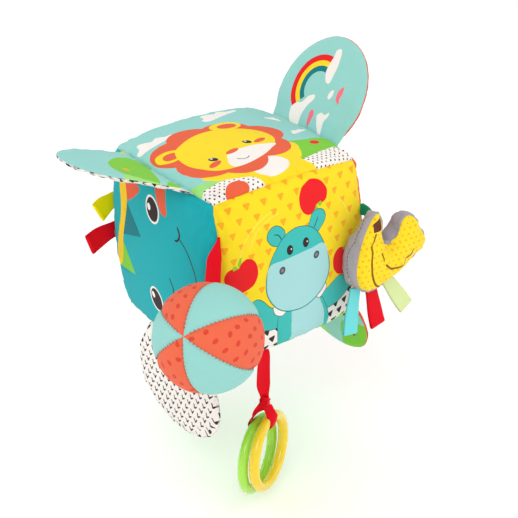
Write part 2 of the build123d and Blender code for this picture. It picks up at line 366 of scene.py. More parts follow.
def crinkle_film(name, colour):
    """Thin clear film with sharp creases."""
    n = Nodes(name)
    n.dye_and_shade(n.flat(colour), n.span(n.noise(90.0), 0.92, 1.05))
    n.feed("Normal", n.bump(n.cells("F1", 90.0), 1.0 * MM, 0.8))
    n.set(Roughness=0.14, Transmission_Weight=0.8, IOR=1.5)
    return n.material


def spun_thread(name, colour):
    """Sewing thread: two plies twisted together."""
    n = Nodes(name)
    across, along = n.cloth_axes()
    plies = n.ripple(n.math("ADD", across, along), 0.35)
    # Darker in the groove between the plies, following the same relief as the bump: painted shade. The
    # noise is random tone.
    n.dye_and_shade(n.flat(colour), n.span(plies, 0.8, 1.1), n.span(n.noise(400.0), -0.05, 0.05))
    n.feed("Normal", n.bump(plies, 0.08 * MM, 0.8))
    n.set(Roughness=0.6, Sheen_Weight=0.4)
    return n.material


MATERIALS = {
    "print": woven("printed_cotton"),
    "minky": minky("minky_pile"),
    "jersey": jersey("grey_jersey_knit"),
    "red_satin": satin("red_satin", "E3081E"),
    "green_satin": satin("green_satin", "1F9C78"),
    "lime_satin": satin("lime_satin", "FFE608"),
    "pale_lime_satin": satin("pale_lime_satin", "DBE6A4", sheer=0.3),
    "aqua_satin": satin("aqua_satin", "6FD6D6"),
    "yellow_gel": gel_plastic("yellow_gel", "FFDF2A", "F8BC08"),
    "green_gel": gel_plastic("green_gel", "B6F052", "97E03E"),
    "foam": open_foam("open_foam", "F3E7C4"),
    "fibre": fibrefill("fibrefill", "F4F1EC"),
    "film": crinkle_film("crinkle_film", "E8EEF0"),
    "brown_thread": spun_thread("brown_thread", "96483A"),
    "white_thread": spun_thread("white_thread", "EDE8E0"),
    "grey_thread": spun_thread("grey_thread", "5F585F"),
    "squeaker": moulded_plastic("squeaker_vinyl", "E9EDF0", clear=0.3),
    "reed": moulded_plastic("reed_plastic", "D9DEE2"),
    "capsule": moulded_plastic("capsule_plastic", "DDE8F2", clear=0.5),
    "bead": moulded_plastic("bead_plastic", "E8483C"),
}


# ---------------------------------------------------------------- flat shapes, in millimetres


def point(u, v):
    return Vector((u, v))


def turned(points, middle, degrees):
    """The points turned about a middle."""
    c, s = math.cos(math.radians(degrees)), math.sin(math.radians(degrees))
    out = []
    for p in points:
        d = p - middle
        out.append(middle + point(c * d.x - s * d.y, s * d.x + c * d.y))
    return out


def through(points, closed=True, step=OUTLINE_STEP):
    """A smooth curve through points on the flat or in space, sampled every step."""
    given = [Vector(p) for p in points]
    count = len(given)
    out = []
    for k in range(count if closed else count - 1):
        if closed:
            a, b, c, d = (given[(k + j) % count] for j in (-1, 0, 1, 2))
        else:
            b, c = given[k], given[k + 1]
            a = given[k - 1] if k else b + (b - c)
            d = given[k + 2] if k + 2 < count else c + (c - b)
        bend = 2 * a - 5 * b + 4 * c - d
        twist = 3 * b - a - 3 * c + d
        steps = max(2, round((c - b).length / step))
        for j in range(steps):
            t = j / steps
            out.append(0.5 * (2 * b + t * (c - a) + t * t * bend + t**3 * twist))
    if not closed:
        out.append(given[-1])
    return out


def ellipse(u, v, ru, rv, turn=0.0, start=0.0, end=360.0):
    """An ellipse or, with start and end, a slice of one closed straight across."""
    around = math.pi * (ru + rv) * (end - start) / 360
    steps = max(10, round(around / OUTLINE_STEP))
    last = steps if end - start == 360 else steps + 1
    angles = [math.radians(start + (end - start) * k / steps) for k in range(last)]
    return turned([point(u + ru * math.cos(a), v + rv * math.sin(a)) for a in angles], point(u, v), turn)


def scalloped(u, v, ru, rv, lobes, depth, turn=0.0, phase=0.0):
    """An ellipse with rounded lobes round it."""
    steps = lobes * 16
    out = []
    for k in range(steps):
        a = 2 * math.pi * k / steps
        swell = 1 + depth * (abs(math.cos(lobes * a / 2 + phase)) - 0.5)
        out.append(point(u + ru * swell * math.cos(a), v + rv * swell * math.sin(a)))
    return turned(out, point(u, v), turn)


def stroke(points, width, closed=False, smooth=True):
    """A drawn line of even width with tapered ends."""
    path = through(points, closed) if smooth else corners(*points)
    count = len(path)
    sides = ([], [])
    for k, p in enumerate(path):
        before = path[k - 1] if k or closed else p
        after = path[(k + 1) % count] if k + 1 < count or closed else p
        way = (after - before).normalized()
        reach = width / 2
        if not closed and k in (0, count - 1):
            reach *= 0.35
        sides[0].append(p + point(-way.y, way.x) * reach)
        sides[1].append(p - point(-way.y, way.x) * reach)
    if closed:
        return [sides[0], sides[1]]
    return [sides[0] + sides[1][::-1]]


def triangle(u, v, size, turn=0.0):
    """A triangle with softened corners, pointing down."""
    tips = corners((u - size / 2, v + size * 0.42), (u, v - size * 0.5), (u + size / 2, v + size * 0.42))
    out = []
    for k, here in enumerate(tips):
        out += [here.lerp(tips[k - 1], 0.14), here.lerp(tips[(k + 1) % 3], 0.14)]
    return turned(out, point(u, v), turn)


def petals(valleys, bulge=0.32):
    """Rounded lobes that bulge out between valleys given in order round a middle."""
    out = []
    for k, b in enumerate(valleys):
        a = valleys[k - 1]
        chord = b - a
        outward = point(chord.y, -chord.x) if area(valleys) > 0 else point(-chord.y, chord.x)
        for j in range(12):
            share = j / 12
            out.append(a + chord * share + outward * (bulge * math.sin(math.pi * share) ** 0.7))
    return out


def scaled(shape, u, v, size, turn):
    """A unit shape's points enlarged, moved to (u, v) and turned."""
    return turned([point(u + size * a, v + size * b) for a, b in shape], point(u, v), turn)


def cloud(u, v, size, turn=0.0):
    """A flat-bottomed cloud with three puffs."""
    puffs = [(-1, -0.3), (-1.05, 0.05), (-0.7, 0.2), (-0.5, 0.5), (-0.1, 0.5), (0.15, 0.25),
             (0.5, 0.35), (0.75, 0.05), (1.05, -0.05), (1.0, -0.3), (0, -0.32)]
    flat = [(u + size * a, v + size * b) for a, b in puffs]
    return turned(through(flat), point(u, v), turn)


def tick(u, v, size, turn=0.0):
    """A small check mark."""
    mark = [(-0.7, 0.55), (-0.3, 0.6), (-0.1, -0.05), (0.62, 0.5), (0.7, 0.2), (0.05, -0.55),
            (-0.22, -0.6)]
    return scaled(mark, u, v, size, turn)


def apple(u, v, size, turn=0.0):
    """An apple with a notched top, its stem and a leaf, as (outline, colour) pairs."""
    half = [(0, 0.66), (0.28, 0.84), (0.7, 0.86), (1.0, 0.5), (1.02, 0.0), (0.82, -0.48),
            (0.46, -0.8), (0.16, -0.88)]
    fruit = half + [(-a, b) for a, b in half[:0:-1]]
    stem = [(-0.34, 0.7), (-0.3, 0.92), (-0.1, 0.94), (-0.02, 0.66)]
    leaf = [(0.0, 0.66), (0.06, 0.95), (0.34, 1.2), (0.4, 1.12), (0.22, 0.8)]
    return [
        (through(scaled(fruit, u, v, size, turn)), "red"),
        (scaled(stem, u, v, size, turn), "sprout"),
        (scaled(leaf, u, v, size, turn), "sprout"),
    ]


def lattice(box, across, down, colour, make):
    """Shapes of one colour on staggered rows over a box (left, bottom, right, top)."""
    left, bottom, right, top = box
    out = []
    row = 0
    v = top
    while v > bottom:
        u = left + (across / 2 if row % 2 else 0)
        while u < right:
            out.append((make(u, v), colour))
            u += across
        v -= down
        row += 1
    return out


def inside(p, polygon):
    """Whether a point is inside a polygon."""
    hit = False
    for k in range(len(polygon)):
        a, b = polygon[k - 1], polygon[k]
        if (a.y > p.y) != (b.y > p.y) and p.x < a.x + (b.x - a.x) * (p.y - a.y) / (b.y - a.y):
            hit = not hit
    return hit


def middle_of(outline):
    return sum(outline, point(0, 0)) / len(outline)


def corners(*points):
    """The corners of a straight-sided outline."""
    return [Vector(p) for p in points]


def patch(colour, *points):
    """A straight-sided printed shape, as the other shapes: (outline, colour) pairs in a list."""
    return [(corners(*points), colour)]


def blob(colour, *points):
    """A smooth printed shape through the points."""
    return [(through(points), colour)]


def oval(colour, *size):
    """A printed ellipse."""
    return [(ellipse(*size), colour)]


def line(colour, width, *points, smooth=True):
    """A printed line."""
    return [(outline, colour) for outline in stroke(points, width, smooth=smooth)]


def within(shapes, *polygons):
    """Only the shapes whose middle is inside one of the polygons."""
    return [s for s in shapes if any(inside(middle_of(s[0]), polygon) for polygon in polygons)]


def clear_of(shapes, *polygons):
    """Only the shapes whose middle is outside all the polygons."""
    return [s for s in shapes if not any(inside(middle_of(s[0]), polygon) for polygon in polygons)]


# ---------------------------------------------------------------- sewn panels


@dataclass
class Panel:
    """A flat cut of fabric: its outline, its print and where each flat point goes in space."""

    name: str
    outline: list
    place: Callable
    base: str
    shapes: list = field(default_factory=list)
    material: str = "print"
    nodes: tuple = ()
    slot: str = ""


def cut(panel, step, printed=True):
    """The panel as flat points, triangles and each triangle's colour."""
    left = min(p.x for p in panel.outline)
    right = max(p.x for p in panel.outline)
    low = min(p.y for p in panel.outline)
    high = max(p.y for p in panel.outline)
    points = list(panel.outline)
    faces = [list(range(len(points)))]
    for outline, _ in panel.shapes if printed else []:
        if area(outline) < 0:
            outline = outline[::-1]
        faces.append(list(range(len(points), len(points) + len(outline))))
        points += outline
    if area(panel.outline) < 0:
        faces[0].reverse()
    for distance in SEAM_RINGS if printed else []:
        points += inset(panel.outline, distance)
    row = 0
    v = low + step / 2
    while v < high:
        u = left + step / (1 + row % 2)
        while u < right:
            points.append(point(u, v))
            u += step
        v += step * 0.866
        row += 1
    flat, _, triangles, _, _, owners = delaunay_2d_cdt(points, [], faces, 1, 1e-4, True)
    kept, colours, places = [], [], {}
    for trio, owner in zip(triangles, owners):
        if 0 in owner:
            top = max(owner)
            kept.append([places.setdefault(k, len(places)) for k in trio])
            colours.append(panel.shapes[top - 1][1] if top else panel.base)
    return [flat[k] for k in places], kept, colours


def area(outline):
    return sum(outline[k - 1].cross(outline[k]) for k in range(len(outline))) / 2


def inset(outline, distance):
    """Points a distance inside a closed outline, one for each of its own."""
    side = distance if area(outline) > 0 else -distance
    out = []
    for k, p in enumerate(outline):
        way = (outline[(k + 1) % len(outline)] - outline[k - 1]).normalized()
        out.append(p + point(-way.y, way.x) * side)
    return out


SIM_SCALE = 10.0            # cloth settles better on a form about a metre across
SIM_FRAMES = 20


class Sewn:
    """Panels sewn into one closed form, with the cloth simulation that swells it."""

    def __init__(self, name, panels, pressure, cap, gather, ease):
        self.panels = panels
        self.seams = self.seam_tree()
        self.build_proxy()
        self.swell(name, pressure, cap, gather, ease)

    def seam_tree(self):
        """Every seam as closely spaced points, to measure distance from."""
        samples = []
        for panel in self.panels:
            placed = [panel.place(p) for p in panel.outline]
            for k, p in enumerate(placed):
                samples.append(p)
                samples.append(p.lerp(placed[k - 1], 0.5))
        tree = KDTree(len(samples))
        for k, p in enumerate(samples):
            tree.insert(p, k)
        tree.balance()
        return tree

    def build_proxy(self):
        """A coarse welded copy of all the panels."""
        form = bmesh.new()
        for panel in self.panels:
            flat, triangles, _ = cut(panel, PROXY_STEP, printed=False)
            verts = [form.verts.new(panel.place(p)) for p in flat]
            for trio in triangles:
                form.faces.new([verts[k] for k in trio])
        bmesh.ops.remove_doubles(form, verts=form.verts, dist=0.05)
        bmesh.ops.recalc_face_normals(form, faces=form.faces)
        form.normal_update()
        self.points = [v.co.copy() for v in form.verts]
        self.normals = [v.normal.copy() for v in form.verts]
        self.triangles = [[v.index for v in f.verts] for f in form.faces if len(f.verts) == 3]
        form.free()
        self.tree = BVHTree.FromPolygons(self.points, self.triangles)

    def swell(self, name, pressure, cap, gather, ease):
        """Blow the proxy up as cloth held at its seams, and keep how far each point went."""
        if not pressure:
            self.shift = [Vector() for _ in self.points]
            return
        mesh = bpy.data.meshes.new(name + "_proxy")
        mesh.from_pydata([p * MM * SIM_SCALE for p in self.points], [], self.triangles)
        body = bpy.data.objects.new(name + "_proxy", mesh)
        bpy.context.scene.collection.objects.link(body)
        pins = body.vertex_groups.new(name="pins")
        for k, p in enumerate(self.points):
            distance = self.seams.find(p)[2]
            pins.add([k], max(0.0, 1 - distance / ease) ** 2, "REPLACE")
        cloth = body.modifiers.new("Cloth", "CLOTH")
        cloth.settings.quality = 6
        cloth.settings.mass = 0.2
        cloth.settings.tension_stiffness = 8
        cloth.settings.compression_stiffness = 8
        cloth.settings.bending_stiffness = 0.4
        cloth.settings.vertex_group_mass = "pins"
        cloth.settings.use_pressure = True
        cloth.settings.uniform_pressure_force = pressure
        cloth.settings.shrink_min = -gather
        cloth.settings.effector_weights.gravity = 0
        cloth.collision_settings.use_collision = False
        scene = bpy.context.scene
        for frame_number in range(1, SIM_FRAMES + 1):
            scene.frame_set(frame_number)
        settled = body.evaluated_get(bpy.context.evaluated_depsgraph_get()).data
        self.shift = []
        for k, vertex in enumerate(settled.vertices):
            move = vertex.co / (MM * SIM_SCALE) - self.points[k]
            if move.length > cap:
                move *= cap / move.length
            self.shift.append(move)
        scene.frame_set(1)
        bpy.data.objects.remove(body)
        bpy.data.meshes.remove(mesh)

    def carry(self, p):
        """How far the cloth moved a point of the form, and which way is out there."""
        near, _, index, _ = self.tree.find_nearest(p)
        trio = self.triangles[index]
        weights = poly_3d_calc([self.points[k] for k in trio], near)
        move = sum((self.shift[k] * w for k, w in zip(trio, weights)), Vector())
        out = sum((self.normals[k] * w for k, w in zip(trio, weights)), Vector())
        return move, out.normalized()


@dataclass
class Seam:
    """How fabric is drawn in at a seam: a groove, and puckers that fade away from it."""

    depth: float = 1.5
    width: float = 1.8
    pucker: float = 0.7
    pucker_length: float = 9.0
    pucker_size: float = 0.14


def drawn_in(sewn, seam, p):
    """A point of the sewn form after the cloth has swollen and the seam has drawn it in."""
    move, out = sewn.carry(p)
    distance = sewn.seams.find(p)[2]
    groove = seam.depth * math.exp(-((distance / seam.width) ** 2))
    fade = math.exp(-distance / seam.pucker_length) - math.exp(-distance / 1.2)
    ripple = noise.noise(p * seam.pucker_size) + 0.5 * noise.noise(p * seam.pucker_size * 2.3)
    return p + move + out * (seam.pucker * fade * ripple - groove)


def mesh_object(name, spots, faces):
    """A smooth piece from points in millimetres."""
    mesh = bpy.data.meshes.new(name)
    mesh.from_pydata([p * MM for p in spots], [], faces)
    mesh.shade_smooth()
    return bpy.data.objects.new(name, mesh)


def fabric_object(panel, sewn, seam, reshape=None):
    """The panel's finished mesh with its print, in metres."""
    flat, triangles, colours = cut(panel, GRID_STEP)
    spots = [drawn_in(sewn, seam, panel.place(p)) for p in flat]
    if reshape:
        spots = [reshape(p) for p in spots]
    piece = mesh_object(panel.name, spots, triangles)
    mesh = piece.data
    paint = mesh.color_attributes.new("print", "FLOAT_COLOR", "CORNER")
    uv = mesh.uv_layers.new(name="cloth")
    dyes = {name: linear(value) for name, value in COLOURS.items()}
    for face, colour in zip(mesh.polygons, colours):
        for corner in face.loop_indices:
            paint.data[corner].color = dyes[colour]
            uv.data[corner].uv = flat[mesh.loops[corner].vertex_index]
    point_outwards(mesh, sewn)
    finish_piece(piece, panel.material, panel.nodes)
    return piece


def point_outwards(mesh, sewn):
    """Turn the mesh's faces to look out of the sewn form."""
    votes = 0
    for face in list(mesh.polygons)[::25]:
        out = sewn.carry(face.center / MM)[1]
        votes += 1 if face.normal.dot(out) > 0 else -1
    if votes < 0:
        mesh.flip_normals()


def finish_piece(piece, material, nodes=()):
    """Put a piece in the scene with its material and the nodes it stands for."""
    if piece.name not in bpy.context.scene.collection.objects:
        bpy.context.scene.collection.objects.link(piece)
    piece.data.materials.clear()
    piece.data.materials.append(MATERIALS[material])
    if nodes:
        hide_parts(*nodes)


# ---------------------------------------------------------------- the cube's faces


def seam_reach(along):
    """How far out an edge of the cube lies, at a distance along it from its middle."""
    inner = 2 * FACE_RADIUS**2 - FACE_CENTRE**2 - 2 * along**2
    return (FACE_CENTRE + math.sqrt(inner)) / 2


def base_reach(along):
    """How far out a side face lies at its bottom edge."""
    return FACE_CENTRE + math.sqrt(FACE_RADIUS**2 - HALF**2 - along**2)


def dome_height(u, v):
    return FACE_CENTRE + math.sqrt(FACE_RADIUS**2 - u * u - v * v)


def face_place(across, up, out):
    """Where a flat point of a domed face goes."""
    return lambda p: CUBE_MIDDLE + across * p.x + up * p.y + out * dome_height(p.x, p.y)


def base_place(p):
    return Vector((p.x, p.y, 0))


EDGE_ALONG = [HALF * k / 25 for k in range(-25, 25)]


def face_outline(reach, straight_bottom=False):
    """The outline of a domed face, from how far out its edges lie."""
    right = [point(reach(t), t) for t in EDGE_ALONG]
    top = [point(-t, reach(t)) for t in EDGE_ALONG]
    left = [point(-reach(t), -t) for t in EDGE_ALONG]
    bottom = [point(t, -HALF if straight_bottom else -reach(t)) for t in EDGE_ALONG]
    return right + top + left + bottom


INK_LINE = 1.1


def eye(u, v, ru, rv, turn, rim=None, shine=(-0.2, 0.45), gleam=0.27):
    """An animal's eye: dark ellipse with a highlight and, if asked, a pale rim."""
    shapes = []
    if rim:
        shapes.append((ellipse(u, v, ru + 1.7, rv + 1.9, turn), rim))
    shapes.append((ellipse(u, v, ru, rv, turn), "charcoal"))
    spot = turned([point(u + ru * shine[0], v + rv * shine[1])], point(u, v), turn)[0]
    shapes.append((ellipse(spot.x, spot.y, ru * gleam, rv * gleam, turn), "white"))
    return shapes


def outlined(outline, colour, width=INK_LINE, ink="ink"):
    """A filled shape with an ink line round it."""
    grown, shrunk = stroke(outline, width, closed=True, smooth=False)
    outer = grown if abs(area(grown)) > abs(area(shrunk)) else shrunk
    return [(outer, ink), (outline, colour)]


def front_print():
    """A hippo over a lattice of small triangles, with apples and striped grass below."""
    head = through([(2, 37), (13, 33.5), (22, 24.5), (29, 9.5), (33, -6), (31, -20), (22, -32),
                    (6, -39.5), (-12, -38), (-25, -30), (-33.5, -16), (-34.5, -2), (-31, 11), (-25, 22),
                    (-16, 32), (-7, 36.5)])
    muzzle = through([(-30.5, 11), (-16, 12.4), (-2, 13.4), (12, 14.2), (27.5, 14), (32.4, -6),
                      (30.4, -20), (21.6, -31.4), (6, -38.9), (-12, -37.4), (-24.6, -29.5),
                      (-32.9, -15.8), (-33.9, -2)])
    left_arm = through([(-23, -34), (-31, -28), (-37, -21), (-41.5, -17), (-46, -16.5), (-50, -20),
                        (-46, -30), (-41, -40), (-37.5, -48.5), (-22, -50)])
    right_arm = through([(25, -35), (31, -31.5), (39, -27), (47, -24), (58, -29), (61, -36), (56, -44),
                         (45, -50), (32, -51)])
    body = corners((-22, -34), (-23, -50), (-20.5, -78), (36, -78), (35.5, -62), (33, -53), (26, -38))
    belly = corners((-6, -36), (-8, -50), (-7.3, -62), (-4, -78), (27, -78), (30, -62), (29, -53),
                    (25, -43), (18, -32))
    left_grass = corners((-38, -47), (-21, -48), (-20, -78), (-46, -78))
    right_grass = corners((33, -50), (46, -49), (62, -40), (72, -52), (78, -78), (37, -78))
    apples = [ellipse(-56, 9, 17, 16), ellipse(17, 59, 19, 15), ellipse(51, -11, 16, 17)]
    triangles = lattice((-72, -72, 78, 78), 16.4, 10.8, "orange", lambda u, v: triangle(u, v, 7.4))
    shapes = clear_of(triangles, head, left_arm, right_arm, body, left_grass, right_grass, *apples)
    shapes += line("pale_yellow", 1.2, (-56.5, 6), (-58, 26), (-50, 42), (-36, 53), (-24, 58))
    shapes += line("pale_yellow", 1.2, (-49, 30), (-42, 43), (-30, 51), (-18, 55))
    shapes += line("pale_yellow", 1.2, (45, 51), (53, 41), (58, 28))
    for u, v, size, turn in ((-56.5, 8.5, 14.8, 20), (17.5, 60, 14.8, 205), (52, -11, 14.5, -14)):
        shapes += apple(u, v, size, turn)
    shapes.append((left_grass, "white"))
    shapes.append((right_grass, "white"))
    marks = lattice((-50, -80, 84, -44), 11, 8.6, "charcoal", lambda u, v: triangle(u, v, 7.6, turn=12))
    shapes += within(marks, left_grass, right_grass)
    shapes += outlined(left_arm, "teal")
    shapes += outlined(right_arm, "teal")
    shapes += outlined(body, "teal")
    shapes.append((through(belly), "muzzle"))
    shapes += outlined(through([(-22, 27), (-28, 29.5), (-31.5, 36), (-29, 42), (-23.5, 44.5),
                                (-18, 42.5), (-14, 37), (-16, 30)]), "teal")
    shapes += line("ink", 0.9, (-25, 37.5), (-20.5, 36), (-17.5, 31))
    shapes += outlined(through([(10, 33), (13, 39), (16.5, 45), (22, 46.5), (27.5, 44.5), (30, 40),
                                (28.5, 34.5), (24, 30), (19, 27)]), "teal")
    shapes += line("ink", 0.9, (22, 40), (19, 35), (16.5, 31.5))
    shapes += outlined(through([(-27, -29), (-26.5, -35), (-23, -38.6), (-18, -40), (-15, -36)]),
                       "white")
    shapes += outlined(through([(18, -32), (22.5, -37), (27, -33.5), (30.5, -29), (27, -24)]), "white")
    shapes += outlined(head, "teal")
    shapes.append((muzzle, "muzzle"))
    for u, v in ((-9.8, 19.6), (7.2, 21.4)):
        shapes += eye(u, v, 3.3, 4.5, 0, shine=(0.42, 0.1), gleam=0.19)
    for u, v, turn in ((-18.4, 3.4, -20), (18.3, 6.4, -25)):
        shapes += oval("iron", u, v, 3.1, 3.6, turn)
        shapes += oval("grey_dark", u, v, 1.4, 1.7, turn)
    shapes += patch("lime", (-74, -80), (78, -80), (78, -62), (62, -66.5), (40, -71.5), (20, -73.4),
                    (-74, -74.2))
    return shapes


LION_TURN = 15.8
TOP_PRINT_SHIFT = Vector((-3.0, -4.5))      # the print sits towards the front left corner
TOP_PRINT_EASE = Vector((-0.13, -0.17))     # and more so behind its middle, for each millimetre
TOP_PRINT_MIDDLE = -25.0


def top_print():
    """A lion's head among clouds, its body and hills below."""
    shapes = []
    for u, v, size, turn in ((40, 79, 22, 22), (-42, 58, 20, 14), (66, -6, 9, 20), (71, 36, 8, -70)):
        shapes.append((cloud(u, v, size, turn), "white"))
    shapes += blob("pale_green", (-92, -36), (-79, -40), (-61, -46), (-43, -47), (-36, -60), (-60, -85),
                   (-92, -85))
    shapes += blob("green", (-95, -14), (-86, -20), (-81, -30), (-79, -44), (-84, -52), (-96, -45))
    shapes += blob("green", (26, -64), (28, -40), (33, -26), (44, -27), (56, -29), (69, -29), (78, -37),
                   (86, -48), (92, -60), (60, -75))
    dots = lattice((-84, -84, 84, -38), 4.8, 3.2, "charcoal", lambda u, v: ellipse(u, v, 0.8, 0.8))
    for strip in (
        corners((-84, -64), (-77, -57), (-66, -53), (-52, -52), (-36, -55), (-20, -66), (-6, -90),
                (-78, -90)),
        corners((12, -68), (26, -61), (48, -56), (72, -49), (80, -52), (88, -90), (14, -90)),
    ):
        shapes.append((strip, "white"))
        shapes += within(dots, strip)
    shapes += blob("coral", (-58, -72), (-54, -64), (-47, -59.5), (-39, -60), (-35, -66), (-37, -73),
                   (-46, -80))
    shapes += blob("yellow", (-58, -38), (-54, -48), (-42, -55), (-26, -64), (-12, -90), (34, -90),
                   (28, -62), (25, -48), (14, -38), (-20, -30))
    shapes += oval("white", -3, -56, 18, 14, 14)
    shapes += blob("yellow", (18, -46), (24, -36), (31, -28), (38, -27), (42, -33), (39, -42),
                   (30, -56), (22, -56))
    shapes += oval("red", 59.4, -37.2, 5.2, 3.9, 20)
    mane = corners((-61, -4), (-36, 47), (4, 51), (38, 29), (40, -16), (5, -42), (-38, -45))
    shapes.append((petals(mane), "coral"))
    for u, v, long, turn in ((-52, 19, 13.5, 30), (22, 42, 14.5, -12)):
        shapes += oval("yellow", u, v, long, 11.5, turn)
        shapes += oval("coral", u + 1, v - 1, long * 0.62, 6.6, turn)
    shapes += blob("yellow", (-45, 21), (-30, 33), (-12, 40.5), (5, 40.5), (19, 35), (31, 23),
                   (37.5, 9), (37, -7), (30, -20), (19, -30), (4, -38), (-14, -42.6), (-30, -42),
                   (-44, -36), (-52, -22), (-53, -3))
    shapes += blob("white", (-25, -27), (-20.5, -20), (-12, -15.6), (0, -14.6), (13, -16.4), (27, -24),
                   (19, -30), (4, -38), (-14, -42.6), (-27, -41.8), (-28.5, -34))
    shapes += line("charcoal", 0.9, (-18.5, -30.5), (-14.8, -34), (-10.5, -34.6), (-6.8, -32.4))
    shapes += oval("coral", -11.5, -14.6, 7.6, 3.6, 18)
    for u, v, cheek_u, cheek_v in ((-33, -17.5, -37.5, -26.6), (11, -5.2, 22, -8.6)):
        shapes += eye(u, v, 3.4, 4.6, LION_TURN, shine=(0.1, 0.5), gleam=0.34)
        shapes += oval("coral", cheek_u, cheek_v, 7.4, 3.5, 22)
    return [([on_top(p) for p in outline], colour) for outline, colour in shapes]


def on_top(p):
    """Where a point of the drawing lies on the top face."""
    return p + TOP_PRINT_SHIFT + TOP_PRINT_EASE * max(0.0, p.y - TOP_PRINT_MIDDLE)


def left_print():
    """A big teal face lying on its side, over a yellow mane band and leaves."""
    shapes = []
    shapes += blob("coral", (-44, 60), (-30, 63), (-19, 59), (-29, 49), (-43, 43), (-48, 52))
    shapes += patch("dark_teal", (-42, 42), (-17, 18), (-52, 8))
    shapes += patch("green", (-54, 1), (-35, -26), (-76, -32))
    shapes += blob("gold", (-64, 84), (-50, 84), (-44, 56), (-42, 38), (-53, 4), (-60, -22), (-73, -30),
                   (-66, -4), (-54, 30), (-57, 56))
    shapes += blob("coral", (4, 82), (6, 66), (14, 52), (20, 49), (23, 53), (20, 68), (16, 82))
    shapes += eye(2.2, 49.5, 8.2, 10.4, 28, rim="white", shine=(-0.5, 0.32), gleam=0.3)
    shapes += eye(-0.5, -36.5, 8.2, 10.6, 12, rim="white", shine=(-0.45, 0.4), gleam=0.3)
    shapes += line("charcoal", 1.9, (37.5, 46), (40.8, 39.5), (38.5, 34), (34.5, 33))
    shapes += line("charcoal", 1.1, (40.5, 36.5), (50, 28), (58, 15), (61.5, 2), (62, -14), (56, -30))
    shapes += line("charcoal", 1.4, (24.5, -5), (29, -14), (27.5, -22), (23, -27))
    return shapes


def right_print():
    """A monkey's face on coral, with leaves; this side is the maker's own guess."""
    dashes = lattice((-72, -70, 74, 74), 17, 11, "coral_dash", lambda u, v: ellipse(u, v, 2.6, 1.5, 30))
    shapes = clear_of(dashes, ellipse(0, 2, 62, 42))
    for u in (-42, 42):
        shapes += oval("brown", u, 6, 14, 15)
        shapes += oval("orange", u, 6, 8.5, 9.5)
    shapes += oval("brown", 0, 2, 40, 36)
    shapes += blob("orange", (0, 22), (-12, 29), (-26, 22), (-28, 8), (-20, -2), (-29, -14), (-20, -27),
                   (0, -31), (20, -27), (29, -14), (20, -2), (28, 8), (26, 22), (12, 29))
    for u in (-13, 13):
        shapes += eye(u, 10, 3.4, 5.0, 0)
        shapes += oval("coral", u * 1.7, -8, 5.5, 3.6)
    shapes += oval("brown", 0, -1, 4.5, 2.8)
    shapes += line("brown", 1.3, (-14, -14), (0, -20), (14, -14))
    for u, v, turn in ((-52, -52, 30), (-26, -62, -20), (40, -56, 15), (60, -40, 60)):
        shapes += oval("green", u, v, 13, 6, turn)
        vein = turned(corners((u - 11, v), (u + 11, v)), point(u, v), turn)
        shapes += line("leaf", 0.9, *vein, smooth=False)
    shapes.append((cloud(-44, 58, 16), "white"))
    shapes.append((cloud(46, 62, 13), "white"))
    return shapes


def back_print():
    """An elephant on lime green under a sun; this side is the maker's own guess."""
    triangles = lattice((-72, -60, 74, 74), 18, 12, "lime", lambda u, v: triangle(u, v, 6.5))
    shapes = clear_of(triangles, ellipse(0, 0, 64, 44))
    shapes.append((scalloped(50, 54, 15, 15, 10, 0.3), "orange"))
    shapes += oval("yellow", 50, 54, 10.5, 10.5)
    shapes.append((cloud(-48, 58, 16), "white"))
    for u in (-38, 38):
        shapes += outlined(ellipse(u, 8, 22, 26), "teal")
        shapes += oval("pink", u, 6, 14, 18)
    shapes += outlined(ellipse(0, 8, 30, 31), "teal")
    shapes += outlined(through([(-9, 2), (9, 2), (9, -24), (16, -38), (26, -40), (27, -31), (20, -29),
                                (10, -48), (-4, -46), (-10, -26)]), "teal")
    for k in range(4):
        shapes += line("ink", 0.9, (-7, -6 - 7 * k), (0, -8 - 7 * k), (7, -6 - 7 * k))
    for u in (-13, 13):
        shapes += eye(u, 15, 3.2, 4.8, 0)
        shapes += oval("coral", u * 1.5, 2, 4.8, 3.2)
    ground = corners((-80, -58), (-30, -53), (30, -56), (80, -60), (80, -80), (-80, -80))
    shapes.append((ground, "white"))
    dots = lattice((-78, -76, 80, -52), 6, 4.4, "charcoal", lambda u, v: ellipse(u, v, 0.9, 0.9))
    return shapes + within(dots, ground)


def base_print():
    """Plain green cloth with a sparse lattice of leaves, leaning left and right by rows."""
    top, down = 70, 15

    def leaf(u, v):
        return ellipse(u, v, 3.4, 1.6, 35 if (top - v) % (2 * down) else -35)

    return lattice((-66, -66, 70, top), 22, down, "leaf", leaf)


def cube_panels():
    """The cube's six printed faces."""
    side = face_outline(seam_reach, straight_bottom=True)
    top, base = face_outline(seam_reach), face_outline(base_reach)
    faces = (
        ("front", side, face_place(X, Z, -Y), "yellow", front_print, "print_yellow"),
        ("left", side, face_place(-Y, Z, -X), "deep_teal", left_print, "print_teal"),
        ("back", side, face_place(-X, Z, Y), "green", back_print, "lime_fabric"),
        ("right", side, face_place(Y, Z, X), "coral", right_print, "coral_fabric"),
        ("top", top, face_place(X, Y, Z), "aqua", top_print, "print_aqua"),
        ("base", base, base_place, "green", base_print, "lime_fabric"),
    )
    panels = []
    for face, outline, place, colour, shapes, slot in faces:
        node = "bottom_panel" if face == "base" else f"{face}_panel"
        panels.append(Panel(f"cube_{face}", outline, place, colour, shapes(), nodes=(node,), slot=slot))
    return panels


CUBE_PRESSURE = 4.0
FOAM_INSET = 5.0            # how far inside the fabric the foam lies
BACK_LIFT = 6.0             # how much fuller the cube is along the back of its top
CORNER_FOLD = 1.5           # height of the gathered folds round a corner
TUCK = 4.5                  # how far the ball's ribbon draws its seam in
CORNERS = [Vector((x * HALF, y * HALF, z)) for x in (-1, 1) for y in (-1, 1) for z in (0, 2 * HALF)]


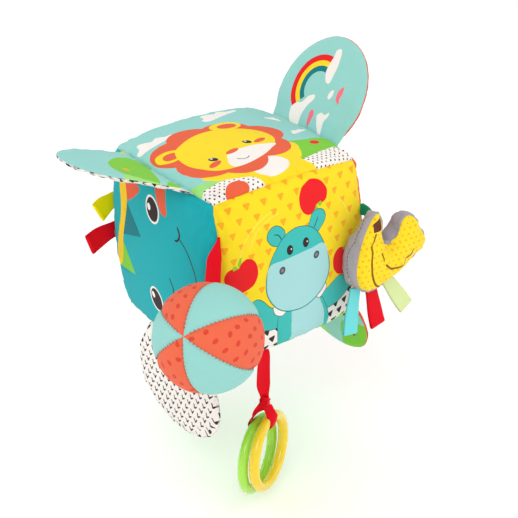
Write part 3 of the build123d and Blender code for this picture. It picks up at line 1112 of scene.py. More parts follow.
def smooth(value, low, high):
    """0 below low, 1 above high, and a soft step between."""
    t = max(0.0, min(1.0, (value - low) / (high - low)))
    return t * t * (3 - 2 * t)


def corner_folds(p):
    """How far folds that run out from the cube's corners lift a point."""
    corner = min(CORNERS, key=lambda c: (p - c).length_squared)
    away = p - corner
    distance = away.length
    if distance > 45:
        return 0.0
    out = (corner - CUBE_MIDDLE).normalized()
    first = out.orthogonal().normalized()
    second = out.cross(first)
    angle = math.atan2(away.dot(second), away.dot(first))
    strength = CORNER_FOLD * (1.8 if corner.x < 0 and corner.y < 0 and corner.z > 0 else 1.0)
    wave = math.sin(11 * angle + 2.5 * noise.noise(p / 20))
    return strength * wave * smooth(distance, 3, 12) * math.exp(-distance / 15)


def settled(p):
    """The cube's soft form at rest: flat below, fuller behind, folded at its corners, drawn in
    where the ball's ribbon pulls on the seam."""
    if p.z < 0:
        p = Vector((p.x, p.y, p.z * 0.25))
    lift = BACK_LIFT * smooth(p.y, -25, 75) * smooth(p.z, 105, 155)
    out = (p - CUBE_MIDDLE).normalized()
    seam_away = Vector((p.x + HALF, p.y + HALF)).length
    tuck = TUCK * math.exp(-(((p.z - 119) / 15) ** 2) - seam_away / 12)
    fold = corner_folds(p) if p.z > 4 else 0.0
    return p + Z * lift + out * fold + X * tuck


def build_cube():
    panels = cube_panels()
    sewn = Sewn("cube", panels, pressure=CUBE_PRESSURE, cap=3.5, gather=0.02, ease=6.0)
    seam = Seam(depth=2.4, width=1.9, pucker=2.0, pucker_length=11.0, pucker_size=0.10)
    for panel in panels:
        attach(fabric_object(panel, sewn, seam, settled), "cube")


def build_foam():
    """The foam block: the cube's form drawn in, with the squeaker's round pocket cut out."""
    form = bmesh.new()
    shrink = 1 - FOAM_INSET / (HALF + DOME / 2)
    for panel in cube_panels():
        flat, triangles, _ = cut(panel, PROXY_STEP, printed=False)
        verts = []
        for p in flat:
            spot = panel.place(p) - CUBE_MIDDLE
            verts.append(form.verts.new((CUBE_MIDDLE + spot * shrink) * MM))
        for trio in triangles:
            form.faces.new([verts[k] for k in trio])
    bmesh.ops.remove_doubles(form, verts=form.verts, dist=0.05 * MM)
    bmesh.ops.recalc_face_normals(form, faces=form.faces)
    mesh = bpy.data.meshes.new("foam_block")
    form.to_mesh(mesh)
    form.free()
    block = bpy.data.objects.new("foam_block", mesh)
    finish_piece(block, "foam", ("foam_core",))
    low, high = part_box("squeaker_bulb")
    radius = (high.x - low.x) / 2 + 1.5 * MM
    bpy.ops.mesh.primitive_cylinder_add(vertices=64, radius=radius, depth=(high.y - low.y) * 2)
    tool = bpy.context.object
    tool.rotation_euler = (math.pi / 2, 0, 0)
    tool.location = (0, high.y + MM - (high.y - low.y), (low.z + high.z) / 2)
    bpy.context.view_layer.update()
    pocket = block.modifiers.new("pocket", "BOOLEAN")
    pocket.operation = "DIFFERENCE"
    pocket.object = tool
    graph = bpy.context.evaluated_depsgraph_get()
    carved = bpy.data.meshes.new_from_object(block.evaluated_get(graph))
    block.modifiers.clear()
    block.data = carved
    carved.name = "foam_block_cut"
    bpy.data.objects.remove(tool)
    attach(block, "cube")


# ---------------------------------------------------------------- page flaps

FLAP_HALF = 2.1             # half a flap's thickness away from its edge
FLAP_SEAM = 1.5             # how far towards the printed side its seam lies
FLAP_RIM = 5.5              # how much of the outer cloth wraps round the edge
FLAP_BULGE = 2.6            # how far the wrapped rim stands out
FLAP_ROOT = 10.0            # how far from its seam a flap takes to reach its own plane
SEAM_SINK = 1.3             # how deep a root sits in the groove of its seam
HINGE_LIFT = 2.2            # how far beyond the seam a flap's hinge line lies
FLAP_PRESSURE = 2.0
FILM_INSET = 6.0            # how much smaller the film is than its flap
TOP_HINGE = seam_reach(0) + HINGE_LIFT
BASE_HINGE = base_reach(0) + HINGE_LIFT


@dataclass
class Flap:
    """A page flap sewn along one edge of the cube. Flat points are (along the seam, outward)."""

    name: str
    hinge: Vector
    rise: float
    side: int
    root: float
    widest: float
    widest_at: float
    length: float
    lean: float
    inner_sign: int         # which side of its plane the printed inner face is on
    droop: float            # how far the tip hangs towards the plane's back

    def outward(self):
        rise = math.radians(self.rise)
        return Vector((self.side * math.cos(rise), 0, math.sin(rise)))

    def normal(self):
        return Y.cross(self.outward())

    def half_width(self, along):
        if along < self.widest_at:
            return self.root + (self.widest - self.root) * math.sin(math.pi / 2 * along / self.widest_at)
        share = (along - self.widest_at) / (self.length - self.widest_at)
        return self.widest * math.sqrt(max(0.0, 1 - share**2))

    def outline(self):
        steps = 14
        rising = [self.widest_at * k / steps for k in range(steps)]
        beyond = self.length - self.widest_at
        turns = 2 * steps
        falling = [self.widest_at + beyond * math.sin(math.pi / 2 * k / turns) for k in range(turns + 1)]
        stations = rising + falling
        right = [point(self.half_width(s) + self.lean * s, s) for s in stations]
        left = [point(-self.half_width(s) + self.lean * s, s) for s in stations[:-1]]
        root = [point(-self.root + 2 * self.root * k / 30, 0) for k in range(1, 30)]
        return right + left[::-1] + root

    def seam_spot(self, along):
        """The point of the cube's seam that a point of the hinge line is sewn to."""
        y = self.hinge.y + along
        if self.hinge.z > HALF:
            reach = seam_reach(y)
            spot = Vector((self.side * reach, y, HALF + reach))
        else:
            spot = Vector((self.side * base_reach(y), y, 0))
        inward = (CUBE_MIDDLE - spot).normalized()
        return settled(spot + inward * SEAM_SINK)

    def place(self, sign, edge):
        """Where a flat point of one layer goes; sign 0 is the film between the layers."""
        outward, normal = self.outward(), self.normal()

        def put(p):
            near, _, away = edge.find((p.x, p.y, 0))
            rim = min(1.0, away / FLAP_RIM)
            fullness = rim * rim * (3 - 2 * rim)
            seam = self.inner_sign * FLAP_SEAM * (1 - fullness)
            wave = 1.1 * noise.noise(Vector((p.x / 38, p.y / 30, self.rise))) * min(1.0, p.y / 20)
            share = p.y / self.length
            offset = seam + sign * FLAP_HALF * fullness + wave - self.droop * share * share
            flat = self.hinge + Y * p.x + outward * p.y + normal * offset
            if sign == -self.inner_sign and away > 1e-3:
                bulge = FLAP_BULGE * math.sin(math.pi * rim) * min(1.0, p.y / FLAP_ROOT) / away
                flat += Y * (near.x - p.x) * bulge + outward * (near.y - p.y) * bulge
            t = min(1.0, p.y / FLAP_ROOT)
            t = t * t * (3 - 2 * t)
            return self.seam_spot(p.x).lerp(flat, t)

        return put


FLAPS = {
    "rainbow": Flap("rainbow", Vector((TOP_HINGE, -2, HALF + TOP_HINGE)), rise=58, side=1, root=46,
                    widest=55, widest_at=30, length=86, lean=0, inner_sign=-1, droop=0),
    "hill": Flap("hill", Vector((-TOP_HINGE, -3, HALF + TOP_HINGE)), rise=19.5, side=-1, root=53,
                 widest=52, widest_at=18, length=76, lean=0.28, inner_sign=1, droop=3),
    "tick": Flap("tick", Vector((-BASE_HINGE, -16, -HINGE_LIFT)), rise=-90, side=-1, root=44,
                 widest=65, widest_at=43, length=91, lean=0.04, inner_sign=-1, droop=0),
    "meadow": Flap("meadow", Vector((BASE_HINGE, -16, -HINGE_LIFT)), rise=-70, side=1, root=50,
                   widest=58, widest_at=22, length=75, lean=0, inner_sign=1, droop=0),
}


def rainbow_print():
    """A three-band rainbow between two clouds, small clouds, a balloon and a pink puff."""
    middle = (7, 36)
    bands = ((31.0, "red"), (25.4, "yellow"), (20.4, "dark_teal"), (15.2, "aqua"))
    shapes = []
    for radius, colour in bands:
        arc = ellipse(*middle, radius, radius, start=-50, end=108)
        shapes.append((arc + corners(middle), colour))
    shapes += blob("white", (28, 11), (23, 17), (17, 19), (12, 26), (5, 29), (3.5, 25), (8, 18),
                   (11, 9), (12, 2), (18, 0.5), (25, 5))
    shapes += blob("white", (0.5, 72.5), (-4, 75), (-7, 71), (-8.5, 60), (-8, 50), (-7, 43), (-2, 43),
                   (3, 51), (2.5, 60), (1, 66))
    shapes += blob("white", (-12, 32), (-14, 37.5), (-17, 38), (-17.5, 33), (-15, 29))
    shapes += blob("white", (-9, 11), (-13, 16), (-18, 15), (-22, 18.5), (-23, 15), (-20, 9), (-21, 3),
                   (-17, 3.5))
    shapes += blob("pink", (-23, 40), (-27, 44), (-28.5, 38), (-27.5, 33), (-28.5, 28), (-24, 30),
                   (-22.5, 35))
    shapes += line("dark_teal", 1.0, (-2.4, 0), (-1.4, 6), smooth=False)
    shapes += blob("pink", (1.4, 13), (-0.5, 16), (-4, 13.5), (-4, 8), (-1.2, 4.5), (1.2, 8))
    return shapes


def hill_print():
    """Green hills along the seam."""
    shapes = blob("green", (27, 2), (0, 7), (-43, 24), (-38, 32), (-24, 43), (-2, 44), (14, 38), (29, 20))
    shapes += blob("pale_green", (-22, 44), (-34, 36), (-48, 20), (-62, 18), (-60, 42), (-40, 52))
    shapes += blob("green", (-42, 4), (-50, 10), (-62, 14), (-62, 28), (-50, 22), (-38, 12))
    return shapes + oval("orange", -6, 33, 4.0, 2.4)


def tick_marks(box):
    """Staggered check marks, each a little different in slant."""

    def mark(u, v):
        return tick(u, v, 4.1, turn=178 + 14 * math.sin(3 * u + v))

    return lattice(box, 9.4, 7.4, "charcoal", mark)


def hill_marks():
    return tick_marks((-66, 2, 66, 80))


def tick_flap_marks():
    return tick_marks((-72, 2, 88, 102))


def meadow_print():
    """Grass, a cloud, and a dark burrow by the seam."""
    shapes = blob("green", (-64, 30), (-44, 22), (-26, 30), (-16, 48), (-14, 80), (-64, 80))
    shapes += blob("pale_green", (10, 80), (16, 56), (36, 44), (64, 42), (64, 80))
    shapes += oval("brown", -36, 44, 2.0, 2.2)
    shapes += blob("charcoal", (-52, 2), (-34, 0.5), (-22, 4), (-18, 14), (-26, 20), (-42, 18), (-52, 10))
    return shapes + [(cloud(14, 22, 12), "white")]


FLAP_CLOTHS = {             # inner colour, print and slot, then the outer ones
    "rainbow": ("aqua", rainbow_print, "print_aqua", "coral", list, "coral_fabric"),
    "hill": ("aqua", hill_print, "print_aqua", "white", hill_marks, "white_fabric"),
    "tick": ("green", base_print, "lime_fabric", "white", tick_flap_marks, "white_fabric"),
    "meadow": ("aqua", meadow_print, "print_aqua", "coral", list, "coral_fabric"),
}


def build_flap(flap):
    """Two printed layers swollen between their edges, and the crinkle film inside."""
    inner, inner_print, inner_slot, outer, outer_print, outer_slot = FLAP_CLOTHS[flap.name]
    outline = flap.outline()
    edge = KDTree(len(outline))
    for k, p in enumerate(outline):
        edge.insert((p.x, p.y, 0), k)
    edge.balance()
    body = f"{flap.name}_flap"
    sides = (
        ("inner", flap.inner_sign, inner, inner_print(), inner_slot),
        ("outer", -flap.inner_sign, outer, outer_print(), outer_slot),
    )
    panels = [
        Panel(f"{body}_{side}_cloth", outline, flap.place(sign, edge), colour, shapes,
              nodes=(f"{body}_{side}",), slot=slot)
        for side, sign, colour, shapes, slot in sides
    ]
    sewn = Sewn(body, panels, pressure=FLAP_PRESSURE, cap=1.1, gather=0.015, ease=6.0)
    seam = Seam(depth=0.0, pucker=0.9, pucker_length=7.0, pucker_size=0.16)
    pieces = [fabric_object(panel, sewn, seam) for panel in panels]
    pieces.append(film_object(flap, edge))
    seam_end = flap.seam_spot(0) * MM
    flap_end = (flap.hinge + flap.outward() * FLAP_ROOT) * MM
    for piece in pieces:
        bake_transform(piece)


def film_object(flap, edge):
    """The creased film between a flap's two layers."""
    body = f"{flap.name}_flap"
    centre = point(flap.lean * flap.length / 2, flap.length * 0.45)
    outline = [p + (centre - p).normalized() * FILM_INSET for p in flap.outline()]
    panel = Panel(body + "_film_sheet", outline, flap.place(0, edge), "white", nodes=(body + "_film",))
    flat, triangles, _ = cut(panel, GRID_STEP)
    normal = flap.normal()
    spots = [panel.place(p) + normal * 0.35 * noise.noise(Vector((p.x / 5, p.y / 5, 3))) for p in flat]
    piece = mesh_object(panel.name, spots, triangles)
    thick = piece.modifiers.new("thickness", "SOLIDIFY")
    thick.thickness = 0.12 * MM
    finish_piece(piece, "film", panel.nodes)
    return piece


# ---------------------------------------------------------------- stitches and ribbons


def stitches(name, rows, radius, material, body=None):
    """Short thread stitches. Each is (one end, other end, which way is out)."""
    verts, faces, uvs = [], [], []
    around = 8
    profile = [(-0.5, 0.15), (-0.42, 0.75), (-0.15, 1.0), (0.15, 1.0), (0.42, 0.75), (0.5, 0.15)]
    for a, b, out in rows:
        way = b - a
        side = out.cross(way).normalized()
        middle = (a + b) / 2
        first = len(verts)
        for share, fat in profile:
            lift = out * (radius * 0.9 * (1 - 3.2 * share * share))
            for k in range(around):
                angle = 2 * math.pi * k / around
                ring = side * math.cos(angle) + out * math.sin(angle)
                verts.append(middle + way * share + lift + ring * radius * fat)
                uvs.append((angle * radius, way.length * share))
        for j in range(len(profile) - 1):
            for k in range(around):
                here = first + j * around
                after = (k + 1) % around
                faces.append((here + k, here + after, here + around + after, here + around + k))
        faces.append(tuple(first + k for k in reversed(range(around))))
        last = first + (len(profile) - 1) * around
        faces.append(tuple(last + k for k in range(around)))
    return plain_mesh(name, verts, faces, uvs, material, body)


def plain_mesh(name, verts, faces, uvs, material, body=None, nodes=()):
    """A smooth mesh in metres with its fabric directions as UVs in millimetres."""
    piece = mesh_object(name, verts, faces)
    mesh = piece.data
    cloth = mesh.uv_layers.new(name="cloth")
    for loop in mesh.loops:
        cloth.data[loop.index].uv = uvs[loop.vertex_index]
    mesh.update()
    shape = bmesh.new()
    shape.from_mesh(mesh)
    bmesh.ops.recalc_face_normals(shape, faces=shape.faces)
    shape.to_mesh(mesh)
    shape.free()
    finish_piece(piece, material, nodes)
    if body:
        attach(piece, body)
    return piece


def along(step, *stops):
    """A smooth open curve in space through the stops, sampled every step."""
    return through(stops, closed=False, step=step)


def band(name, path, halves, thick, material, body=None, nodes=(), closed=False, cup=0.0):
    """A ribbon swept along a path. halves holds, for each station, half its width as a vector."""
    across = 8
    count = len(path)
    verts, uvs, faces = [], [], []
    run = 0.0
    for k, (p, half) in enumerate(zip(path, halves)):
        before = path[k - 1] if k or closed else p
        after = path[(k + 1) % count] if k + 1 < count or closed else p
        run += (p - path[k - 1]).length if k else 0.0
        out = (after - before).cross(half).normalized()
        for side in (1, -1):
            for j in range(across + 1):
                share = 2 * (j / across) - 1
                round_edge = math.sqrt(max(0.0, 1 - abs(share) ** 9))
                order = share * side
                bow = cup * (order * order - 0.33)
                verts.append(p + half * order + out * (side * thick / 2 * round_edge + bow))
                uvs.append((order * half.length, run))
    ring = 2 * (across + 1)
    for k in range(count if closed else count - 1):
        here = k * ring
        there = ((k + 1) % count) * ring
        for j in range(ring):
            after = (j + 1) % ring
            faces.append((here + j, here + after, there + after, there + j))
    if not closed:
        faces.append(tuple(range(ring)))
        faces.append(tuple(range((count - 1) * ring + ring - 1, (count - 1) * ring - 1, -1)))
    return plain_mesh(name, verts, faces, uvs, material, body, nodes)


RIBBON = 0.7
TAG_GAP = 0.55              # half the space between a tag's two layers at its root
TAG_GATHER = 0.78           # a tag's width at its root, as a share of its width at the tip


def folded_tag(name, root, tip, wide, out, width, material, nodes,
               wave=0.8, sink=3.0, sag=0.0):
    """A ribbon folded double: out from its seam, round at the tip and back. It is gathered a
    little at its root and can sag along its length."""
    way = (tip - root).normalized()
    length = (tip - root).length
    start = root - way * sink

    def leaf(share, side):
        swing = wave * math.sin(math.pi * share) * share
        drop = Z * (-sag * math.sin(math.pi * share))
        offset = side * (TAG_GAP + 0.9 * share**3) + swing
        return start + way * (length + sink - 1.4) * share + drop + out * offset

    there = [leaf(k / 12, 1) for k in range(13)]
    back = [leaf(k / 12, -1) for k in reversed(range(13))]
    fold = [tip + way * -0.35 + out * 0.9, tip, tip + way * -0.35 - out * 0.9]
    path = along(1.2, *there, *fold, *back)
    halves = []
    for p in path:
        share = max(0.0, min(1.0, (p - root).dot(way) / length))
        halves.append(wide * width / 2 * (TAG_GATHER + (1 - TAG_GATHER) * smooth(share, 0.0, 0.7)))
    piece = band(name, path, halves, RIBBON, material, nodes=nodes)
    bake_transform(piece)
    return piece


def seam_corner(height, x_sign, y_sign):
    reach = seam_reach(height - HALF)
    return Vector((x_sign * reach, y_sign * reach, height))


def build_side_tags():
    """Two folded tags in the back left seam."""
    for colour, height, length, droop in (("lime", 104, 17, 8.0), ("red", 75, 28, 8.0)):
        root = seam_corner(height, -1, 1) + Y * 0.8
        tip = root + Vector((-length, 1.0, -droop))
        body = f"side_tag_{colour}"
        wide = (tip - root).normalized().cross(Y).normalized()
        folded_tag(f"{body}_ribbon", root, tip, wide, Y, 20, f"{colour}_satin", (body,),
                   sink=4.0, sag=-1.5)


def build_plush_tags():
    """Three folded tags fanned out under the plush."""
    fan = {
        "aqua": ((53, 36), (46, -3), "aqua_satin", "ribbon_aqua"),
        "red": ((72, 35), (80, -6), "red_satin", "ribbon_red"),
        "lime": ((90, 39), (115, 1), "pale_lime_satin", "ribbon_pale_lime"),
    }
    for colour, (root, tip, material, slot) in fan.items():
        start = Vector((root[0], PLUSH_MIDDLE, root[1]))
        end = Vector((tip[0], PLUSH_MIDDLE - 1.5, tip[1]))
        body = f"plush_tag_{colour}"
        wide = (end - start).normalized().cross(Y).normalized()
        folded_tag(f"{body}_ribbon", start, end, wide, Y, 16, material, (body,),
                   wave=0.9, sink=5.0 if colour == "aqua" else 2.0)


# ---------------------------------------------------------------- the ball

BALL_CENTRE = Vector((-112, -114, 60))
BALL_RADIUS = 43.4          # before the cloth swells
BALL_POLE = Vector((-0.771, -0.383, 0.507)).normalized()
BALL_RIGHT = Vector((0.797, -0.603, -0.033))
GORES = 6
GORE_PHASE = math.radians(24.5)
BALL_RIBBON_HEIGHT = 123.0
BALL_RIBBON_HALF = 6.5      # half the ribbon's width
BALL_PRESSURE = 3.0


def gore_outline():
    """A lens: the flat cut of one sixth of the ball."""
    steps = 44
    right, left = [], []
    for k in range(steps + 1):
        angle = math.pi * k / steps
        half = math.pi / GORES * BALL_RADIUS * math.sin(angle)
        right.append(point(half, angle * BALL_RADIUS))
        left.append(point(-half, angle * BALL_RADIUS))
    return right + left[-2:0:-1]


def ball_axes():
    level = (BALL_RIGHT - BALL_POLE * BALL_POLE.dot(BALL_RIGHT)).normalized()
    return level, BALL_POLE.cross(level), BALL_POLE


def ball_spot(down, around, radius=BALL_RADIUS):
    """A point of the ball at an angle down from its pole and an angle round it."""
    a, b, c = ball_axes()
    flat = a * math.cos(around) + b * math.sin(around)
    return BALL_CENTRE + (flat * math.sin(down) + c * math.cos(down)) * radius


def gore_place(middle):
    def put(p):
        down = p.y / BALL_RADIUS
        across = math.sin(down)
        around = middle + (p.x / (BALL_RADIUS * across) if across > 1e-4 else 0.0)
        return ball_spot(down, around)

    return put


def gore_print(number):
    """Darker dashes scattered over a coral gore."""
    outline = gore_outline()

    def dash(u, v):
        turn = 50 + 35 * math.sin(u * 0.9 + v * 1.3 + number)
        return ellipse(u + 1.5 * math.sin(2.1 * v + number), v + 1.4 * math.sin(1.7 * u), 2.6, 1.8, turn)

    dashes = lattice((-26, 6, 26, 134), 12.2, 9.0, "coral_dash", dash)
    return [d for d in dashes if all(inside(p, outline) for p in d[0][::3])]


def build_ball():
    """Six gores over stuffing, hand-stitched along their seams, with a rattle inside."""
    outline = gore_outline()
    turn = 2 * math.pi / GORES
    panels = []
    for k in range(GORES):
        coral = k % 2
        middle = GORE_PHASE + turn * (k + 0.5)
        panels.append(Panel(
            f"ball_gore_{k + 1}", outline, gore_place(middle), "coral_ball" if coral else "aqua",
            gore_print(k) if coral else [],
            nodes=("ball_gores_coral" if coral else "ball_gores_aqua",),
            slot="coral_fabric" if coral else "print_aqua",
        ))
    sewn = Sewn("ball", panels, pressure=BALL_PRESSURE, cap=1.6, gather=0.02, ease=7.0)
    seam = Seam(depth=1.1, width=1.6, pucker=0.9, pucker_length=6.0, pucker_size=0.17)
    for panel in panels:
        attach(fabric_object(panel, sewn, seam), "ball")
    entry = BALL_CENTRE + (ball_ribbon_root() - BALL_CENTRE).normalized() * BALL_RADIUS
    rows = []
    for k in range(GORES):
        around = GORE_PHASE + turn * k
        count = 40
        for j in range(2, count - 1):
            down = math.pi * j / count
            spot = ball_spot(down, around)
            if (spot - entry).length < BALL_RIBBON_HALF + 3.0:
                continue
            out = (spot - BALL_CENTRE).normalized()
            along = (ball_spot(down + 0.01, around) - spot).normalized()
            side = out.cross(along)
            spot = drawn_in(sewn, seam, spot) + out * 0.15
            slant = 0.35 if j % 2 else -0.35
            reach = (side + along * slant) * 0.95
            rows.append((spot - reach, spot + reach, out))
    stitches("ball_seam_stitches", rows, 0.26, "brown_thread", "ball")
    build_ball_filling()


def build_ball_filling():
    """A lumpy ball of fibre with a round room for the rattle capsule."""
    form = bmesh.new()
    low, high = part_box("rattle_capsule")
    capsule = (high.x - low.x) / 2 / MM
    for radius, lumps, flip in ((BALL_RADIUS - 2.6, 1.6, False), (capsule + 0.7, 0.3, True)):
        before = set(form.faces)
        made = bmesh.ops.create_icosphere(form, subdivisions=5, radius=radius)
        for v in made["verts"]:
            v.co *= 1 - lumps / radius * (0.5 + 0.5 * noise.noise(v.co / 9))
        if flip:
            bmesh.ops.reverse_faces(form, faces=[f for f in form.faces if f not in before])
    for v in form.verts:
        v.co = (v.co + BALL_CENTRE) * MM
    mesh = bpy.data.meshes.new("ball_filling")
    form.to_mesh(mesh)
    form.free()
    mesh.shade_smooth()
    piece = bpy.data.objects.new("ball_filling", mesh)
    finish_piece(piece, "fibre", ("ball_stuffing",))
    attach(piece, "ball")


def ball_ribbon_root():
    """Where the ball's ribbon leaves the cube's seam."""
    root = settled(seam_corner(BALL_RIBBON_HEIGHT, -1, -1))
    return root + (CUBE_MIDDLE - root).normalized() * 2.0


def build_ball_ribbon():
    """The ribbon from the front left seam to the ball, with a gentle twist."""
    root = ball_ribbon_root()
    way = (BALL_CENTRE - root).normalized()
    end = BALL_CENTRE - way * (BALL_RADIUS - 2.0)
    wide = Vector((1, -1, 0)).normalized()
    normal = way.cross(wide).normalized()
    path, halves = [], []
    steps = 30
    for k in range(steps + 1):
        share = k / steps
        half = BALL_RIBBON_HALF * (0.18 + 0.82 * smooth(share, 0.0, 0.5))
        bow = normal * 1.6 * math.sin(math.pi * share)
        path.append(root.lerp(end, share) + bow + wide * (BALL_RIBBON_HALF - half) * 0.35)
        twist = math.radians(14 * math.sin(math.pi * share))
        halves.append((wide * math.cos(twist) + normal * math.sin(twist)) * half)
    piece = band("ball_ribbon_strap", path, halves, RIBBON, "red_satin",
                 nodes=("ball_ribbon",), cup=0.5)
    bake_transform(piece)


# ---------------------------------------------------------------- the strap and its rings

STRAP_X = -35.0
STRAP_LENGTH = 47.0
STRAP_WIDTH = 13.0
KNOT = 9.0
RING_RADIUS = 33.25
RING_TUBE = 4.75
RING_TURN = math.radians(29.2)
YELLOW_CENTRE = Vector((-33, -82, -104.6))
RING_SPACING = 11.5
RING_DROP = 6.0
RING_ALONG = Vector((math.cos(RING_TURN), math.sin(RING_TURN), 0))
RING_AXIS = Vector((-math.sin(RING_TURN), math.cos(RING_TURN), 0))
GREEN_CENTRE = YELLOW_CENTRE + RING_AXIS * RING_SPACING - Z * RING_DROP


def strap_root():
    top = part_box("ring_strap")[1].z / MM
    reach = base_reach(STRAP_X + STRAP_WIDTH / 2) + 0.8
    return Vector((STRAP_X, -reach, top))


def build_strap():
    """The hanging strap: a band that gathers and turns into its knot, and the loop below."""
    root = strap_root()
    knot = root - Z * (STRAP_LENGTH + KNOT / 3)
    start = Vector((STRAP_X, -base_reach(STRAP_X) + 2.0, 1.6))
    path = along(1.5, start, root + Vector((0, -0.3, -1.5)), root + Vector((-1.2, -0.8, -16)),
                 root + Vector((-1.5, -0.4, -32)), knot + Z * 1.5)
    halves = []
    for p in path:
        share = max(0.0, min(1.0, (root.z - p.z) / STRAP_LENGTH))
        turn = math.radians(24) * share
        half = STRAP_WIDTH / 2 * (1 - 0.42 * smooth(share, 0.62, 1.0))
        halves.append(Vector((math.cos(turn), -math.sin(turn), 0)) * half)
    piece = band("ring_strap_band", path, halves, RIBBON, "red_satin",
                 nodes=("ring_strap",), cup=0.9)
    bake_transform(piece)
    build_knot(knot)
    build_loop(knot)


def build_knot(middle):
    """An overhand knot: the ribbon's flattened turns crossing over a packed core."""
    front = RING_AXIS * -1
    wraps = ((38, 3.4, 8.0), (-38, 3.9, 7.4), (4, 3.0, 7.0))
    for number, (tilt, radius, width) in enumerate(wraps, start=1):
        axis = Matrix.Rotation(math.radians(tilt), 3, front) @ Z
        side = axis.cross(front).normalized()
        steps = 40
        path, halves = [], []
        for k in range(steps):
            angle = 2 * math.pi * k / steps
            swell = radius * (1 + 0.06 * math.sin(3 * angle + number))
            flat = side * math.cos(angle) * swell * 1.35
            path.append(middle + flat + front * math.sin(angle) * swell * 0.9)
            lean = 0.2 * math.sin(2 * angle)
            halves.append((axis * math.cos(lean) + side * math.sin(lean)) * width / 2)
        band(f"strap_knot_turn_{number}", path, halves, 1.1, "red_satin", "strap",
             closed=True, cup=-1.2)
    core = []
    steps = 14
    for k in range(steps + 1):
        share = k / steps
        core.append(middle + Z * (4.5 - 9.5 * share) + RING_AXIS * 0.8 * math.sin(5 * share))
    halves = [RING_ALONG * (3.6 + 0.6 * math.sin(9 * k / steps)) for k in range(steps + 1)]
    band("strap_knot_core", core, halves, 5.0, "red_satin", "strap")


def build_loop(knot):
    """The loop of ribbon that passes under both rings' tubes and gathers at the knot."""
    held = RING_TUBE + 1.5
    yellow = YELLOW_CENTRE + Z * RING_RADIUS
    green = yellow + RING_AXIS * RING_SPACING - Z * RING_DROP
    tie = knot - Z * 3.0

    def around(centre, degrees):
        a = math.radians(degrees)
        return centre + (RING_AXIS * math.cos(a) + Z * math.sin(a)) * held

    stops = [tie + RING_AXIS * 1.5]
    stops += [around(green, degrees) for degrees in (62, 30, 0, -35, -75, -108)]
    stops += [around(yellow, degrees) for degrees in (-128, -160, 170, 145)]
    path = along(1.4, *stops, tie - RING_AXIS * 1.5)
    halves = []
    facing = Vector((0.8, -0.6, 0))
    for p in path:
        away = smooth((p - tie).length, 8, 22)
        half = 4.8 + 1.4 * away
        way = facing * (1 - away) + RING_ALONG * away + Z * 0.12 * math.sin(away * 3)
        halves.append(way.normalized() * half)
    band("ring_strap_loop", path, halves, RIBBON + 0.2, "red_satin", "strap", cup=0.5)


def build_ring(name, centre, material):
    """A teething ring: a round tube with the fine raised line its mould halves leave."""
    around, across = 160, 40
    verts, faces, uvs = [], [], []
    for j in range(around):
        a = 2 * math.pi * j / around
        out = RING_ALONG * math.cos(a) + Z * math.sin(a)
        for k in range(across):
            b = 2 * math.pi * k / across
            parting = 0.16 * math.exp(-((math.sin(b) / 0.09) ** 2))
            tube = RING_TUBE + parting + 0.02 * noise.noise(Vector((a * 3, b * 2, 1)))
            spot = centre + out * (RING_RADIUS + tube * math.cos(b))
            verts.append(spot + RING_AXIS * tube * math.sin(b))
            uvs.append((a * RING_RADIUS, b * RING_TUBE))
            here, after = j * across, ((j + 1) % around) * across
            faces.append((here + k, here + (k + 1) % across, after + (k + 1) % across, after + k))
    plain_mesh(f"{name}_moulding", verts, faces, uvs, material, name, (name,))


# ---------------------------------------------------------------- the banana plush

PLUSH_BACK = -91.0          # a little less deep than the CAD solid, for the cloth to swell into
PLUSH_FRONT = -110.0
PLUSH_MIDDLE = -100.5
PLUSH_TAPER = 0.42          # how much thinner the padding is at the tips
PLUSH_RIBBON_HEIGHT = 102.0
PLUSH_PRESSURE = 7.0
NOTCH = Vector((84, 0, 78))     # where the two bananas part


def plush_outline():
    """Two bananas joined at the foot, seen from the front."""
    points = [
        (71, 112.5), (62.5, 107), (54, 93), (48, 76), (46, 60), (49, 46), (58, 38.5), (72, 37.5),
        (88, 41.5), (102, 47), (117, 55), (127, 61), (130, 69), (124, 82), (116, 95), (107, 99.5),
        (100, 96), (96.5, 87), (89, 80), (81, 79.5), (77, 87), (76.5, 102),
    ]
    middle = Vector((86, 70))
    return [p + (middle - p).normalized() * 0.9 for p in through(points, step=2.6)]


def plush_print():
    """Rows of orange dots, the peel's drawn edges and a stalk."""
    shapes = lattice((46, 38, 132, 112), 5.8, 5.0, "minky_dot", lambda u, v: ellipse(u, v, 1.1, 1.1))
    shapes += line("print_brown", 2.0, (66.4, 94.4), (63, 84), (61.2, 73), (61.1, 64), (62.2, 55),
                   (65.5, 46.5), (72, 41), (79, 40))
    shapes += line("print_brown", 2.0, (77, 61.5), (83, 55.8), (90, 53.8), (96.5, 54.2), (100.4, 56),
                   (102, 59.2), (106, 60.6), (108.6, 63.5), (110.6, 67))
    shapes += line("print_brown", 1.5, (73.4, 74), (75, 65))
    return shapes + patch("brown", (63.5, 103), (73.5, 107), (73.5, 94.5), (63.8, 95.5))


def plush_depth(height, share):
    """How deep a point of the plush lies: share runs from its front to its back. The padding
    thins towards the two upper tips."""
    thin = 1 - PLUSH_TAPER * smooth(height, 74, 108)
    return PLUSH_FRONT + (PLUSH_BACK - PLUSH_FRONT) * share * thin


def plush_face(share):
    """A side of the plush."""
    return lambda p: Vector((p.x, plush_depth(p.y, share), p.y))


